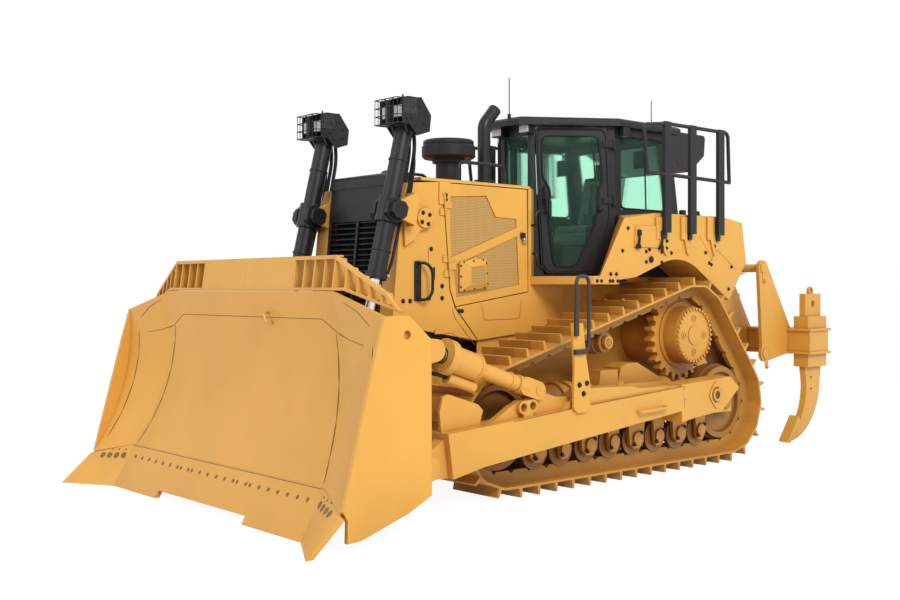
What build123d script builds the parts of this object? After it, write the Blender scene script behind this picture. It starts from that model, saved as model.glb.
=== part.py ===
"""Crawler tractor with a semi-U blade and a multi-shank ripper, as an assembly of sub-components.

Frame: +X forward (blade end), +Y the machine's left, +Z up, millimetres.
Z = 0 is the ground under the grouser tips; X = 0 is the middle of the whole length.
"""
from build123d import *
import os
from math import atan2, cos, degrees, hypot, pi, radians, sin, tan

# ---------------------------------------------------------------- clearances
FIT = 0.3                 # seat clearance between pieces that rest on each other
PIN_FIT = 0.5             # radial clearance at pins and rods
EDGE_SEAT = 0.9           # joint between the moldboard's foot and its bolt-on edges
GAP = 8.0                 # running gap between moving panels and what is beside them

# ---------------------------------------------------------------- tracks
TRACK_Y = 1041.5          # half of the track gauge
SHOE_WIDTH = 560.0
SHOE_COUNT = 44
PIN_RADIUS = 430.0        # link pins round the sprocket and both idlers
WHEEL_DROP = 590.0        # height of the idler centres
SPROCKET_X, SPROCKET_Z = -1221.0, 1300.0
REAR_IDLER_X, FRONT_IDLER_X = -1812.0, 1395.0
GROUSER_HEIGHT = 78.0
PLATE_TOP = WHEEL_DROP - PIN_RADIUS - GROUSER_HEIGHT   # shoe's outer face over the pin line
PLATE_THICKNESS = 20.0
RAIL_DEPTH = 48.0         # rail's running face below the pin line
RAIL_INNER, RAIL_OUTER = 70.0, 120.0   # rail faces from the track's centre line
LINK_SCALLOP = 22.0       # notch between two links on the running face

ROLLER_COUNT = 8
ROLLER_RADIUS = 125.0
ROLLER_FIRST_X = 955.0
ROLLER_PITCH = 333.0
ROLLER_FLANGE = 24.0
CARRIER_X = 0.0
CARRIER_RADIUS = 95.0
SPROCKET_TEETH = 25
SPROCKET_TIP_RADIUS = 452.0
SPROCKET_ROOT_RADIUS = 396.0
SPROCKET_WIDTH = 90.0
HUB_RADIUS = 285.0
HUB_CAP_R = 92.0
HUB_OUT_Y = 1250.0

FRAME_HALF = 185.0        # track frame's half width
FRAME_BOTTOM, FRAME_TOP = 495.0, 740.0
FRAME_REAR_X, FRAME_FRONT_X = -1400.0, 985.0
FRAME_PLATE = 35.0
RECOIL_RADIUS = 160.0
RECOIL_REAR_X = -1000.0

# ---------------------------------------------------------------- hull
HULL_HALF = 560.0
HULL_RAIL = 90.0
HULL_BOTTOM, HULL_TOP = 620.0, 1180.0
HULL_FRONT_X = 2040.0
NOSE_FOOT_Z = 1280.0
CASE_REAR_X, CASE_FRONT_X = -1860.0, -700.0
CASE_TOP = 1690.0
BELLY_Z = 575.0
BELLY_PLATE = 30.0

# ---------------------------------------------------------------- nose and hood
NOSE_HALF = 610.0
SIDE_SHEET = 38.0
HOOD_TOP = 2730.0
HOOD_REAR_X = 440.0
NOSE_REAR_TOP_X = 1530.0
GRILLE_SLATS = 20
GRILLE_HALF = 430.0
GRILLE_BOTTOM, GRILLE_TOP = 1420.0, 2380.0
SLAT_DEPTH = 42.0
HOOD_HINGE_OUT = 14.0
HOOD_HINGE_Z = (1960.0, 2500.0)
HOOD_PIVOT_R, HOOD_KNUCKLE_R = 6.0, 12.0
NOSE_CORNER = [(1922, HOOD_TOP - 60), (1973, 2520)]   # set back from the raised lift cylinders

# ---------------------------------------------------------------- cab
CAB_FLOOR_Z = 1880.0
CAB_ROOF_TOP = 3456.0
ROOF_DEPTH = 78.0
ROOF_OVERHANG = 80.0
ROOF_VISOR = 190.0          # roof's reach ahead of the windscreen
CAB_EAVE_Z = CAB_ROOF_TOP - ROOF_DEPTH
CAB_WALL = 45.0
WINDOW_SILL_Z, WINDOW_HEAD_Z = 2560.0, CAB_EAVE_Z - 73
SCREEN_HALF, SCREEN_HEAD_Z = 165.0, CAB_EAVE_Z - 88
REAR_GLASS_HALF, REAR_SILL_Z, REAR_HEAD_Z = 560.0, 2600.0, CAB_EAVE_Z - 108
DOOR_FRONT = (0.0, 220.0)      # top view corner ahead of the door
DOOR_REAR = (-640.0, 700.0)    # top view corner behind the door
CAB_SIDE_Y = 722.0
CAB_REAR_TOP_X, CAB_REAR_FOOT_X = -1540.0, -1800.0
DOOR_THICKNESS = 50.0
DOOR_SILL_Z = 1916.0
GLASS = 8.0
HINGE_S, HINGE_OUT = 806.0, 52.0     # door hinge line in the door wall's own frame
DOOR_HINGE_Z = (2640.0, CAB_EAVE_Z - 178)
DOOR_OPENING = 62.0         # degrees a cab door swings
KNUCKLE_HALF = 32.0
HINGE_TAB = 14.0
PIVOT_R, KNUCKLE_R = 9.0, 17.0

# ---------------------------------------------------------------- fenders and tank
FENDER_IN_Y, FENDER_OUT_Y = 745.0, 1200.0
TANK_FRONT_X, TANK_REAR_X = -1880.0, -2160.0
PLATFORM_CORNER_X, PLATFORM_DEPTH = 205.0, 76.0
REAR_BOX_HALF = 500.0       # air conditioning unit behind the cab roof
ANTENNA_RADIUS, ANTENNA_LENGTH = 5.0, 398.0
ANTENNA_X = 180.0
POST_X = (-820.0, -1226.0, -1699.0)
POST_TOP, POST_FOOT = 3390.0, 2250.0
POST_WIDTH = 100.0
RAIL_TUBE = 19.0
RAIL_MID_Z = 2860.0

# ---------------------------------------------------------------- push arms and blade
TRUNNION = (-1144.0, 736.0)
BLADE_PIN = (2489.0, 398.0)
TILT_FOOT = (1264.0, 916.0)
TILT_EYE = (2426.0, 1295.0)
LIFT_YOKE = (2111.0, 2423.0)
LIFT_EYE = (2492.0, 852.0)
ARM_IN_Y, ARM_OUT_Y = 1345.0, 1580.0
TRUNNION_RADIUS = 80.0
BLADE_PIN_RADIUS = 55.0
TILT_Y = 1465.0
TILT_LUG_HALF = 32.0         # the arm's lug inside the tilt cylinder's fork
TILT_FORK_OUT = 68.0
TIE_BORES = ((1450.0, 789.0), (1344.0, 796.0))
TIE_BORE_R, TIE_BOSS_R, TIE_BOSS_OUT = 36.0, 54.0, 75.0
LIFT_Y = 591.0
LIFT_RAISE, LIFT_LOWER = 14.3, -6.7
PITCH_RANGE = 5.0

BLADE_CORNER_Y = 1245.0
BLADE_END_Y = 1935.0
BLADE_TOP_Z = 1746.0
FACE_FOOT_X, FACE_FOOT_Z = 3398.0, 355.0
WING_TOP_Z, WING_FOOT_Z = 1574.0, 262.0
EDGE_TIP_X = 3600.0
TIP_FLARE = 279.0            # corner bit's tip ahead of the middle edge
TIP_X = EDGE_TIP_X + TIP_FLARE
FACE_PLATE = 34.0
END_PLATE = 32.0
TIP_Y = BLADE_END_Y + END_PLATE
EDGE_PLATE = 40.0
BACK_BOX_X = 2830.0
CENTRE_EDGE_Y = 700.0
END_BIT_Y = 1490.0
GUARD_TOP_Z = 2013.0
GUARD_PLATE = 20.0

# ---------------------------------------------------------------- cylinders
LIFT_BARREL_R, LIFT_BORE_R, LIFT_ROD_R = 78.0, 60.0, 42.0
LIFT_BARREL_UP, LIFT_BARREL_DOWN = 830.0, 595.0
LIFT_END_WALL = 15.0
LIFT_GLAND, LIFT_PISTON = 25.0, 25.0
LIFT_ROD_LENGTH = 1513.0
LAMP_STAND_UP = 800.0
YOKE_GAP, YOKE_PLATE = 104.0, 45.0
LAMP_BRACKET_HALF, LAMP_WIDTH = 105.0, 65.0
TILT_BARREL_R, TILT_BORE_R, TILT_ROD_R = 112.0, 85.0, 45.0
TILT_BARREL_START, TILT_BARREL_END = 688.0, 1059.0
TILT_TUBE_R = 66.0
TILT_ROD_LENGTH = 330.0

# ---------------------------------------------------------------- ripper
LINK_FOOT = (-2010.0, 700.0)
LINK_HEAD = (-3009.0, 1034.0)
PITCH_FOOT = (-1961.0, 1661.0)
EAR_TOP = (-2960.0, 1995.0)
RIPPER_FOOT = (-2030.0, 1350.0)
RIPPER_RAISE, RIPPER_LOWER = 32.0, -40.5
BEAM_FRONT_X, BEAM_REAR_X = -3455.0, -3877.0
BEAM_BOTTOM, BEAM_TOP = 1020.0, 1310.0
BEAM_HALF = 1232.0
SHANK_Y = (-1090.0, 0.0, 1090.0)
SHANK_WIDTH = 74.0
LINK_ARM_Y = (240.0, 360.0)
PITCH_CYL_Y = 470.0
RIPPER_CYL_Y = 630.0
EAR_PLATES_Y = ((372.0, 402.0), (890.0, 930.0))
RIPPER_PIN_R = 45.0
RIPPER_BARREL_END = 800.0
RIPPER_ROD_LENGTH = 600.0
SHANK_POCKET_X = (BEAM_REAR_X + 47, BEAM_FRONT_X - 45)
POCKET_WALL, POCKET_HALF = 30.0, 92.0
POCKET_Z = (874.0, 1448.0)
SHANK_TOP_Z = 1706.0
SHANK_EYE = (BEAM_REAR_X + 212, 1742.0)
SHANK_EYE_R, SHANK_EYE_HALF = 26.0, 14.0


# ================================================================ small helpers
def outline(start, *steps):
    """Closed face in the XZ plane. A step is a point (x, z), or (via, end) for an arc."""
    edges = []
    here = start
    for step in steps:
        if isinstance(step[0], tuple):
            via, end = step
            edges.append(Edge.make_three_point_arc(at(here), at(via), at(end)))
        else:
            end = step
            edges.append(Edge.make_line(at(here), at(end)))
        here = end
    if here != start:
        edges.append(Edge.make_line(at(here), at(start)))
    return Face(Wire(edges))


def at(point, y=0.0):
    return Vector(point[0], y, point[1])


def slab(face, y_low, y_high):
    """Face of the XZ plane made a solid between two distances along Y."""
    moved = face.moved(Location((0, y_low, 0)))
    return Solid.extrude(moved, Vector(0, y_high - y_low, 0))


def plate(points, y_low, y_high):
    return slab(outline(points[0], *points[1:]), y_low, y_high)


def block(x_low, x_high, y_low, y_high, z_low, z_high):
    size = (x_high - x_low, y_high - y_low, z_high - z_low)
    return Solid.make_box(*size, Plane((x_low, y_low, z_low)))


def disc(centre, radius, y_low, y_high):
    """Cylinder along Y about a point (x, z)."""
    base = Plane((centre[0], y_low, centre[1]), z_dir=(0, 1, 0))
    return Solid.make_cylinder(radius, y_high - y_low, base)


def bar(start, end, radius):
    """Round bar between two points in space."""
    line = Vector(end) - Vector(start)
    return Solid.make_cylinder(radius, line.length, Plane(start, z_dir=line))


def tube_run(points, radius, bend):
    """Round tube along straight runs joined by tangent arcs."""
    path = FilletPolyline(*points, radius=bend)
    start = Plane(path @ 0, z_dir=path % 0)
    return sweep(start * Circle(radius), path=path)


def lug(centre, radius, foot_low, foot_high, y_low, y_high):
    """Ear: a round head about a pin with straight sides down to its foot."""
    head = disc(centre, radius, y_low, y_high)
    side = _tangent_feet(centre, radius, foot_low, foot_high)
    return (head + plate(side, y_low, y_high)).clean()


def _tangent_feet(centre, radius, foot_low, foot_high):
    points = []
    turn = 1 if foot_low[0] < centre[0] else -1
    for foot, side in ((foot_low, turn), (foot_high, -turn)):
        dx, dz = foot[0] - centre[0], foot[1] - centre[1]
        reach = hypot(dx, dz)
        lean = atan2(dz, dx) + side * _safe_acos(radius / reach)
        points.append((centre[0] + radius * cos(lean), centre[1] + radius * sin(lean)))
    return [foot_low, points[0], points[1], foot_high]


def _safe_acos(ratio):
    ratio = min(ratio, 0.98)
    return pi / 2 - atan2(ratio, (1 - ratio * ratio) ** 0.5)


def mirrored(shape):
    return shape.mirror(Plane.XZ)


def pair(shape):
    return [shape, mirrored(shape)]


def along(start, end, distance):
    """Point (x, z) at a distance from start towards end."""
    reach = hypot(end[0] - start[0], end[1] - start[1])
    part = distance / reach
    return (start[0] + part * (end[0] - start[0]), start[1] + part * (end[1] - start[1]))


def rod_solid(start, end, y, near, far, radius):
    """Round bar on the line start-end at Y, between two distances from start."""
    a, b = along(start, end, near), along(start, end, far)
    return bar((a[0], y, a[1]), (b[0], y, b[1]), radius)


def solids_of(shapes):
    found = []
    for shape in shapes:
        found += shape.solids()
    return found


# ================================================================ tracks
def wheel_centres():
    return [(REAR_IDLER_X, WHEEL_DROP), (FRONT_IDLER_X, WHEEL_DROP), (SPROCKET_X, SPROCKET_Z)]


def track_runs():
    """Straight runs and arcs of the pin line, in order round the loop, with their lengths."""
    centres = wheel_centres()
    runs = []
    for index, centre in enumerate(centres):
        after = centres[(index + 1) % 3]
        beyond = centres[(index + 2) % 3]
        heading = atan2(after[1] - centre[1], after[0] - centre[0])
        turned = atan2(beyond[1] - after[1], beyond[0] - after[0])
        turn = (turned - heading) % (2 * pi)
        length = hypot(after[0] - centre[0], after[1] - centre[1])
        runs.append(("line", centre, heading, length, 0.0))
        runs.append(("arc", after, heading, PIN_RADIUS * turn, turn))
    return runs


def pin_line(distance):
    """Point of the pin line at a distance from the rear end of the ground run."""
    runs = track_runs()
    distance %= sum(run[3] for run in runs)
    for kind, centre, heading, length, _ in runs:
        if distance <= length:
            break
        distance -= length
    if kind == "line":
        x = centre[0] + distance * cos(heading) + PIN_RADIUS * sin(heading)
        z = centre[1] + distance * sin(heading) - PIN_RADIUS * cos(heading)
        return (x, z)
    angle = heading - pi / 2 + distance / PIN_RADIUS
    return (centre[0] + PIN_RADIUS * cos(angle), centre[1] + PIN_RADIUS * sin(angle))


def track_pins():
    pitch = sum(run[3] for run in track_runs()) / SHOE_COUNT
    return [pin_line(index * pitch) for index in range(SHOE_COUNT)]


def link_points(profile):
    """Closed outline with each link's profile points: (share of the link, height outward)."""
    pins = track_pins()
    points = []
    for index, pin in enumerate(pins):
        after = pins[(index + 1) % SHOE_COUNT]
        dx, dz = after[0] - pin[0], after[1] - pin[1]
        reach = hypot(dx, dz)
        for share, height in profile:
            x = pin[0] + share * dx + height * dz / reach
            z = pin[1] + share * dz - height * dx / reach
            points.append((x, z))
    return points


def loop_band(outer, inner, y_low, y_high):
    rim = Wire.make_polygon([at(p, y_low) for p in outer], close=True)
    hole = Wire.make_polygon([at(p, y_low) for p in inner], close=True)
    return Solid.extrude(Face(rim, [hole]), Vector(0, y_high - y_low, 0))


def make_track():
    top, tip = PLATE_TOP, PLATE_TOP + GROUSER_HEIGHT
    floor = PLATE_TOP - PLATE_THICKNESS
    shoe = [(0.04, top), (0.10, top), (0.13, tip), (0.22, tip), (0.27, top), (0.98, top)]
    inside = [(0.02, floor), (0.98, floor)]
    running = [(0.06, -RAIL_DEPTH + LINK_SCALLOP), (0.16, -RAIL_DEPTH), (0.84, -RAIL_DEPTH),
               (0.94, -RAIL_DEPTH + LINK_SCALLOP)]
    half = SHOE_WIDTH / 2
    band = loop_band(link_points(shoe), link_points(inside), TRACK_Y - half, TRACK_Y + half)
    rails = []
    for low, high in ((-RAIL_OUTER, -RAIL_INNER), (RAIL_INNER, RAIL_OUTER)):
        rails.append(loop_band(link_points(inside), link_points(running), TRACK_Y + low, TRACK_Y + high))
    return band.fuse(*rails)


def make_sprocket():
    """Toothed rim on the final drive's drum with its round outer cover."""
    centre = (SPROCKET_X, SPROCKET_Z)
    half = SPROCKET_WIDTH / 2
    points = []
    for tooth in range(SPROCKET_TEETH):
        for share, radius in ((0.0, SPROCKET_ROOT_RADIUS), (0.35, SPROCKET_ROOT_RADIUS),
                              (0.55, SPROCKET_TIP_RADIUS), (0.80, SPROCKET_TIP_RADIUS)):
            angle = 2 * pi * (tooth + share) / SPROCKET_TEETH
            points.append((centre[0] + radius * cos(angle), centre[1] + radius * sin(angle)))
    rim = plate(points, TRACK_Y - half, TRACK_Y + half)
    drum = disc(centre, HUB_RADIUS, HULL_HALF, HUB_OUT_Y)
    seat = disc(centre, HUB_RADIUS + 45, TRACK_Y - 60, TRACK_Y + 60)
    cover = disc(centre, HUB_RADIUS - 8, HUB_OUT_Y, HUB_OUT_Y + 14)
    cap = disc(centre, HUB_CAP_R, HUB_OUT_Y + 14, HUB_OUT_Y + 22)
    return rim.fuse(drum, seat, cover, cap)


def idler_tread():
    """Tread radius that just meets the middle of a link's running face."""
    pitch = sum(run[3] for run in track_runs()) / SHOE_COUNT
    return PIN_RADIUS * cos(pitch / PIN_RADIUS / 2) - RAIL_DEPTH - FIT


def make_idler(x):
    centre = (x, WHEEL_DROP)
    tread = idler_tread()
    wheel = disc(centre, tread, TRACK_Y - RAIL_OUTER, TRACK_Y + RAIL_OUTER)
    flange = disc(centre, tread + 24, TRACK_Y - 55, TRACK_Y + 55)
    shaft = disc(centre, 60, TRACK_Y - FRAME_HALF - 20, TRACK_Y + FRAME_HALF + 20)
    body = wheel.fuse(flange, shaft)
    for y_low, y_high in ((TRACK_Y + 75, TRACK_Y + RAIL_OUTER), (TRACK_Y - RAIL_OUTER, TRACK_Y - 75)):
        recess = disc(centre, tread - 55, y_low, y_high) - disc(centre, 130, y_low, y_high)
        body = body.cut(recess)
    return body


def roller_x():
    return [ROLLER_FIRST_X - index * ROLLER_PITCH for index in range(ROLLER_COUNT)]


def roller_z():
    return WHEEL_DROP - PIN_RADIUS + RAIL_DEPTH + ROLLER_RADIUS + FIT


def make_rollers():
    rollers = []
    for x in roller_x():
        centre = (x, roller_z())
        tread = disc(centre, ROLLER_RADIUS, TRACK_Y - RAIL_OUTER - 2, TRACK_Y + RAIL_OUTER + 2)
        waist = disc(centre, ROLLER_RADIUS, TRACK_Y - 62, TRACK_Y + 62)
        waist = waist - disc(centre, ROLLER_RADIUS - 32, TRACK_Y - 62, TRACK_Y + 62)
        shaft = disc(centre, 42, TRACK_Y - FRAME_HALF - 12, TRACK_Y + FRAME_HALF + 12)
        flanges = []
        for y in (TRACK_Y - RAIL_OUTER - 14, TRACK_Y + RAIL_OUTER + 2):
            flanges.append(disc(centre, ROLLER_RADIUS + ROLLER_FLANGE, y, y + 12))
        rollers.append(tread.cut(waist).fuse(shaft, *flanges))
    return rollers


def carrier_centre():
    """Centre of the carrier roller, square below the sloping upper run."""
    slope = atan2(SPROCKET_Z - WHEEL_DROP, FRONT_IDLER_X - SPROCKET_X)
    drop = PIN_RADIUS - RAIL_DEPTH - CARRIER_RADIUS - FIT
    line_z = WHEEL_DROP + (FRONT_IDLER_X - CARRIER_X) * tan(slope)
    return (CARRIER_X, line_z + drop / cos(slope))


def make_carrier():
    centre = carrier_centre()
    roller = disc(centre, CARRIER_RADIUS, TRACK_Y - RAIL_OUTER, TRACK_Y + RAIL_OUTER)
    flange = disc(centre, CARRIER_RADIUS + 20, TRACK_Y - 55, TRACK_Y + 55)
    shaft = disc(centre, 38, TRACK_Y - 170, TRACK_Y + 170)
    return roller.fuse(flange, shaft)


def make_track_frame():
    low, high = TRACK_Y - FRAME_HALF, TRACK_Y + FRAME_HALF
    beam = block(FRAME_REAR_X, FRAME_FRONT_X, low + FRAME_PLATE, high - FRAME_PLATE, FRAME_BOTTOM, FRAME_TOP)
    recoil = bar((RECOIL_REAR_X, TRACK_Y, FRAME_TOP), (FRAME_FRONT_X, TRACK_Y, FRAME_TOP), RECOIL_RADIUS)
    pieces = [recoil]
    for x_low, x_high in ((-260, -140), (400, 470), (540, 600)):
        pieces.append(bar((x_low, TRACK_Y, FRAME_TOP), (x_high, TRACK_Y, FRAME_TOP), RECOIL_RADIUS + 22))
    pieces.append(plate([(-200, 860), (-240, 1020), (-330, 1050), (-480, 1056), (-840, 895), (-900, 800)],
                        TRACK_Y - 105, TRACK_Y + 105))
    outer = [(REAR_IDLER_X - 95, WHEEL_DROP - 95), (REAR_IDLER_X - 95, WHEEL_DROP + 95),
             (FRAME_REAR_X - 60, FRAME_TOP + 60), (FRAME_FRONT_X, FRAME_TOP),
             (FRONT_IDLER_X + 95, WHEEL_DROP + 95), (FRONT_IDLER_X + 95, WHEEL_DROP - 95),
             (FRAME_FRONT_X + 80, FRAME_BOTTOM), (FRAME_REAR_X - 80, FRAME_BOTTOM)]
    for y_low in (low, high - FRAME_PLATE):
        cheek = plate(outer, y_low, y_low + FRAME_PLATE)
        for index, x in enumerate(roller_x()):
            half = 85 if index % 2 else 120
            saddle = [(x - half, FRAME_BOTTOM + 20), (x - half + 20, roller_z() - 30), (x - 45, roller_z() - 82),
                      (x + 45, roller_z() - 82), (x + half - 20, roller_z() - 30), (x + half, FRAME_BOTTOM + 20)]
            cheek = cheek.fuse(plate(saddle, y_low, y_low + FRAME_PLATE))
        for x, z, radius in [(x, roller_z(), 42) for x in roller_x()] + [
                (REAR_IDLER_X, WHEEL_DROP, 60), (FRONT_IDLER_X, WHEEL_DROP, 60)]:
            cheek = cheek.cut(disc((x, z), radius + FIT, y_low - 5, y_low + FRAME_PLATE + 5))
        pieces.append(cheek)
    carrier = carrier_centre()
    for y_low in (TRACK_Y - 165, TRACK_Y + RAIL_OUTER + 10):
        cheek = lug(carrier, 58, (carrier[0] - 150, FRAME_TOP), (carrier[0] + 150, FRAME_TOP), y_low, y_low + 35)
        pieces.append(cheek.cut(disc(carrier, 38 + FIT, y_low - 5, y_low + 40)))
    pieces.append(plate([(carrier[0] - 150, FRAME_TOP), (carrier[0] - 120, 1010), (carrier[0] + 120, 1010),
                         (carrier[0] + 150, FRAME_TOP)], TRACK_Y - 165, TRACK_Y + RAIL_OUTER + 45))
    trunnion = disc(TRUNNION, TRUNNION_RADIUS, high - 20, ARM_OUT_Y + 12)
    boss = disc(TRUNNION, TRUNNION_RADIUS + 45, high - 20, ARM_IN_Y - GAP)
    return beam.fuse(*pieces, trunnion, boss)


# ================================================================ hull
def make_main_frame():
    rail = plate([(CASE_FRONT_X + FIT, HULL_BOTTOM), (CASE_FRONT_X + FIT, HULL_TOP), (1660, HULL_TOP),
                  (1730, NOSE_FOOT_Z), (HULL_FRONT_X, NOSE_FOOT_Z), (HULL_FRONT_X, 1000), (1700, HULL_BOTTOM)],
                 HULL_HALF - HULL_RAIL, HULL_HALF)
    cross = block(1780, 1900, -HULL_HALF + HULL_RAIL, HULL_HALF - HULL_RAIL, 900, 1180)
    equaliser = block(560, 760, -TRACK_Y + FRAME_HALF + FIT, TRACK_Y - FRAME_HALF - FIT, 640, 820)
    pivot = disc((-500, 736), 105, HULL_HALF - 10, TRACK_Y - FRAME_HALF - FIT)
    belly = plate([(CASE_FRONT_X + FIT, BELLY_Z), (CASE_FRONT_X + FIT, BELLY_Z + BELLY_PLATE + 15),
                   (1700, HULL_BOTTOM), (2020, 940), (2040, 915), (1715, BELLY_Z)],
                  -HULL_HALF, HULL_HALF)
    floor = block(CASE_FRONT_X + FIT, 1690, -HULL_HALF, HULL_HALF, BELLY_Z, HULL_BOTTOM + 10)
    stand = plate([(CASE_FRONT_X + FIT, HULL_TOP - 10), (CASE_FRONT_X + FIT, CASE_TOP), (50, CASE_TOP),
                   (50, 1420), (180, HULL_TOP - 10)], HULL_HALF - 25, HULL_HALF)
    return rail.fuse(mirrored(rail), cross, equaliser, pivot, mirrored(pivot), belly, floor, stand, mirrored(stand))


def make_case():
    """Steering and final-drive case, the rear half of the hull."""
    body = plate([(CASE_REAR_X, 640), (CASE_REAR_X, CASE_TOP - 60), (CASE_REAR_X + 60, CASE_TOP),
                  (CASE_FRONT_X - 100, CASE_TOP), (CASE_FRONT_X, CASE_TOP - 200), (CASE_FRONT_X, BELLY_Z),
                  (CASE_REAR_X + 120, BELLY_Z)], -HULL_HALF + FIT, HULL_HALF - FIT)
    return body


def make_engine():
    return block(500, 1545, -330, 330, HULL_TOP + FIT, 2250)


def make_engine_mount():
    """Converter and pump housing between engine and case."""
    return block(CASE_FRONT_X + FIT, 500 - FIT, -300, 300, HULL_BOTTOM + 10 + FIT, 1600)


# ================================================================ nose
def nose_side_points():
    return [(NOSE_REAR_TOP_X, HOOD_TOP - 30 - FIT), *NOSE_CORNER, (2015, 2203), (2098, 1373),
            (1735, 1400), (1111, 1297), (1385, 1595), (1445, 1750)]


def hood_hinge(z):
    """Point of an engine door's leaning hinge line at a height."""
    return (1439 + (z - 1751) * (1524 - 1439) / (2692 - 1751), NOSE_HALF + HOOD_HINGE_OUT, z)


def hood_hinge_leaf(z, side, reach):
    """Flat leaf of a hood hinge, from its line back (-1) or forward (+1)."""
    x, y, _ = hood_hinge(z)
    low, high = min(x, x + side * reach), max(x, x + side * reach)
    half = KNUCKLE_HALF - 2
    return block(low, high, NOSE_HALF - 1, y - 4, z - half, z + half)


def hood_hinge_bar(z, low, high, radius):
    return bar(hood_hinge(z + low), hood_hinge(z + high), radius)


def make_hood_pivots():
    """Hinge pins of one engine door with the leaves that hold them."""
    pieces = []
    for z in HOOD_HINGE_Z:
        for offset in (-2 * KNUCKLE_HALF - FIT, 2 * KNUCKLE_HALF + FIT):
            pieces.append(hood_hinge_leaf(z + offset, 1, 60))
            pieces.append(hood_hinge_bar(z + offset, -KNUCKLE_HALF, KNUCKLE_HALF, HOOD_KNUCKLE_R))
        pieces.append(hood_hinge_bar(z, -2 * KNUCKLE_HALF, 2 * KNUCKLE_HALF, HOOD_PIVOT_R))
    return pieces


def make_nose():
    side = plate(nose_side_points(), NOSE_HALF - SIDE_SHEET, NOSE_HALF)
    post = plate([*NOSE_CORNER, (2015, 2203), (2098, 1373), (2010, 1380), (1930, 2203), (1850, 2660)],
                 GRILLE_HALF + FIT, NOSE_HALF - SIDE_SHEET)
    sill = plate([(2095, 1373), (1735, 1400), (1745, NOSE_FOOT_Z + FIT), (2060, NOSE_FOOT_Z + FIT)],
                 -NOSE_HALF + SIDE_SHEET, NOSE_HALF - SIDE_SHEET)
    header = block(1800, 1900, -NOSE_HALF + SIDE_SHEET, NOSE_HALF - SIDE_SHEET, 2600, 2660)
    yoke = make_yoke_bracket()
    flank = side.fuse(post, yoke, *make_hood_pivots())
    return flank.fuse(mirrored(flank), sill, header)


def make_yoke_bracket():
    """Trunnion bracket for one lift cylinder, on the nose's front corner."""
    x, z = LIFT_YOKE
    cheek = [(1960, z - 120), (x + 45, z - 52), (x + 45, z + 52), (1930, z + 150)]
    arm = plate(cheek, LIFT_Y - YOKE_GAP - YOKE_PLATE, LIFT_Y - YOKE_GAP)
    outer = plate(cheek, LIFT_Y + YOKE_GAP, LIFT_Y + YOKE_GAP + YOKE_PLATE)
    web = plate([(1935, z - 130), (1960, z - 130), (1952, z + 150), (1890, z + 150)],
                NOSE_HALF - SIDE_SHEET - 40, LIFT_Y + YOKE_GAP + YOKE_PLATE)
    bracket = arm.fuse(outer, web)
    return bracket.cut(disc(LIFT_YOKE, 40 + PIN_FIT, LIFT_Y - 200, LIFT_Y + 200))


def grille_x(z):
    """Distance forward of the nose's sloping front face at a height."""
    return 2098 + (z - 1373) * (2015 - 2098) / (2203 - 1373)


def make_grille():
    half = GRILLE_HALF
    pitch = (GRILLE_TOP - GRILLE_BOTTOM) / GRILLE_SLATS
    pieces = []
    for index in range(GRILLE_SLATS):
        z = GRILLE_BOTTOM + (index + 0.5) * pitch
        x = grille_x(z) - 12
        slat = plate([(x - SLAT_DEPTH, z + 8), (x, z - 12), (x, z - 2), (x - SLAT_DEPTH, z + 18)], -half, half)
        pieces.append(slat)
    x_low, x_high = grille_x(GRILLE_BOTTOM), grille_x(GRILLE_TOP)
    band = [(x_low - 48, GRILLE_BOTTOM), (x_low, GRILLE_BOTTOM), (x_high, GRILLE_TOP), (x_high - 48, GRILLE_TOP)]
    for y_low, y_high in ((-half, -half + 30), (-15, 15), (half - 30, half)):
        pieces.append(plate(band, y_low, y_high))
    for z in (GRILLE_BOTTOM, GRILLE_TOP):
        x = grille_x(z)
        pieces.append(plate([(x - 48, z - 18), (x, z - 18), (x, z + 9), (x - 48, z + 9)], -half, half))
    return pieces[0].fuse(*pieces[1:])


def make_nose_cap():
    """Blank front panel and rounded cap above the grille."""
    half = GRILLE_HALF
    z = GRILLE_TOP + 9 + FIT
    panel = plate([(grille_x(z) - 40, z), (grille_x(z), z), (1972, 2640), (1925, 2640)], -half, half)
    cap = slab(outline((1905, 2660 + FIT), (1985, 2662), (1978, 2740), ((1950, 2768), (1900, 2775)),
                       (1720, 2775), (1705, 2735), (1880, 2725)), -half, half)
    neck = plate([(1925, 2630), (1972, 2630), (1976, 2670), (1905, 2670)], -half, half)
    return panel.fuse(neck, cap)


def make_radiator():
    return plate([(1560, 1400 + FIT), (1990, 1400 + FIT), (1860, 2560), (1560, 2560)], -GRILLE_HALF, GRILLE_HALF)


# ================================================================ hood
def make_hood():
    """Top sheet with turned-down sides, drawn in towards the windscreen at its rear."""
    half = NOSE_HALF
    top = block(HOOD_REAR_X, NOSE_REAR_TOP_X + 240, -half, half, HOOD_TOP - 30, HOOD_TOP)
    edges = [e for e in top.edges() if abs(e.center().Z - HOOD_TOP) < 1 and abs(abs(e.center().Y) - half) < 1]
    top = fillet(edges, 24)
    cheek = block(HOOD_REAR_X - 20, HOOD_REAR_X + 18, half - 140, half, 1770, HOOD_TOP - 30)
    neck_points = [(HOOD_REAR_X, half - 6), (HOOD_REAR_X, -half + 6), (70, -300), (70, 300)]
    base = Face(Wire.make_polygon([Vector(x, y, HOOD_TOP - 30) for x, y in neck_points], close=True))
    neck = Solid.extrude(base, Vector(0, 0, 30))
    wall_points = [(HOOD_REAR_X, half), (HOOD_REAR_X, half - 34), (104, 268), (70, 300)]
    wall = Face(Wire.make_polygon([Vector(x, y, 1770) for x, y in wall_points], close=True))
    wall = Solid.extrude(wall, Vector(0, 0, HOOD_TOP - 30 - 1770))
    panel = make_lower_panel()
    return top.fuse(neck, wall, mirrored(wall), cheek, mirrored(cheek), *panel, *[mirrored(p) for p in panel])


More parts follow.
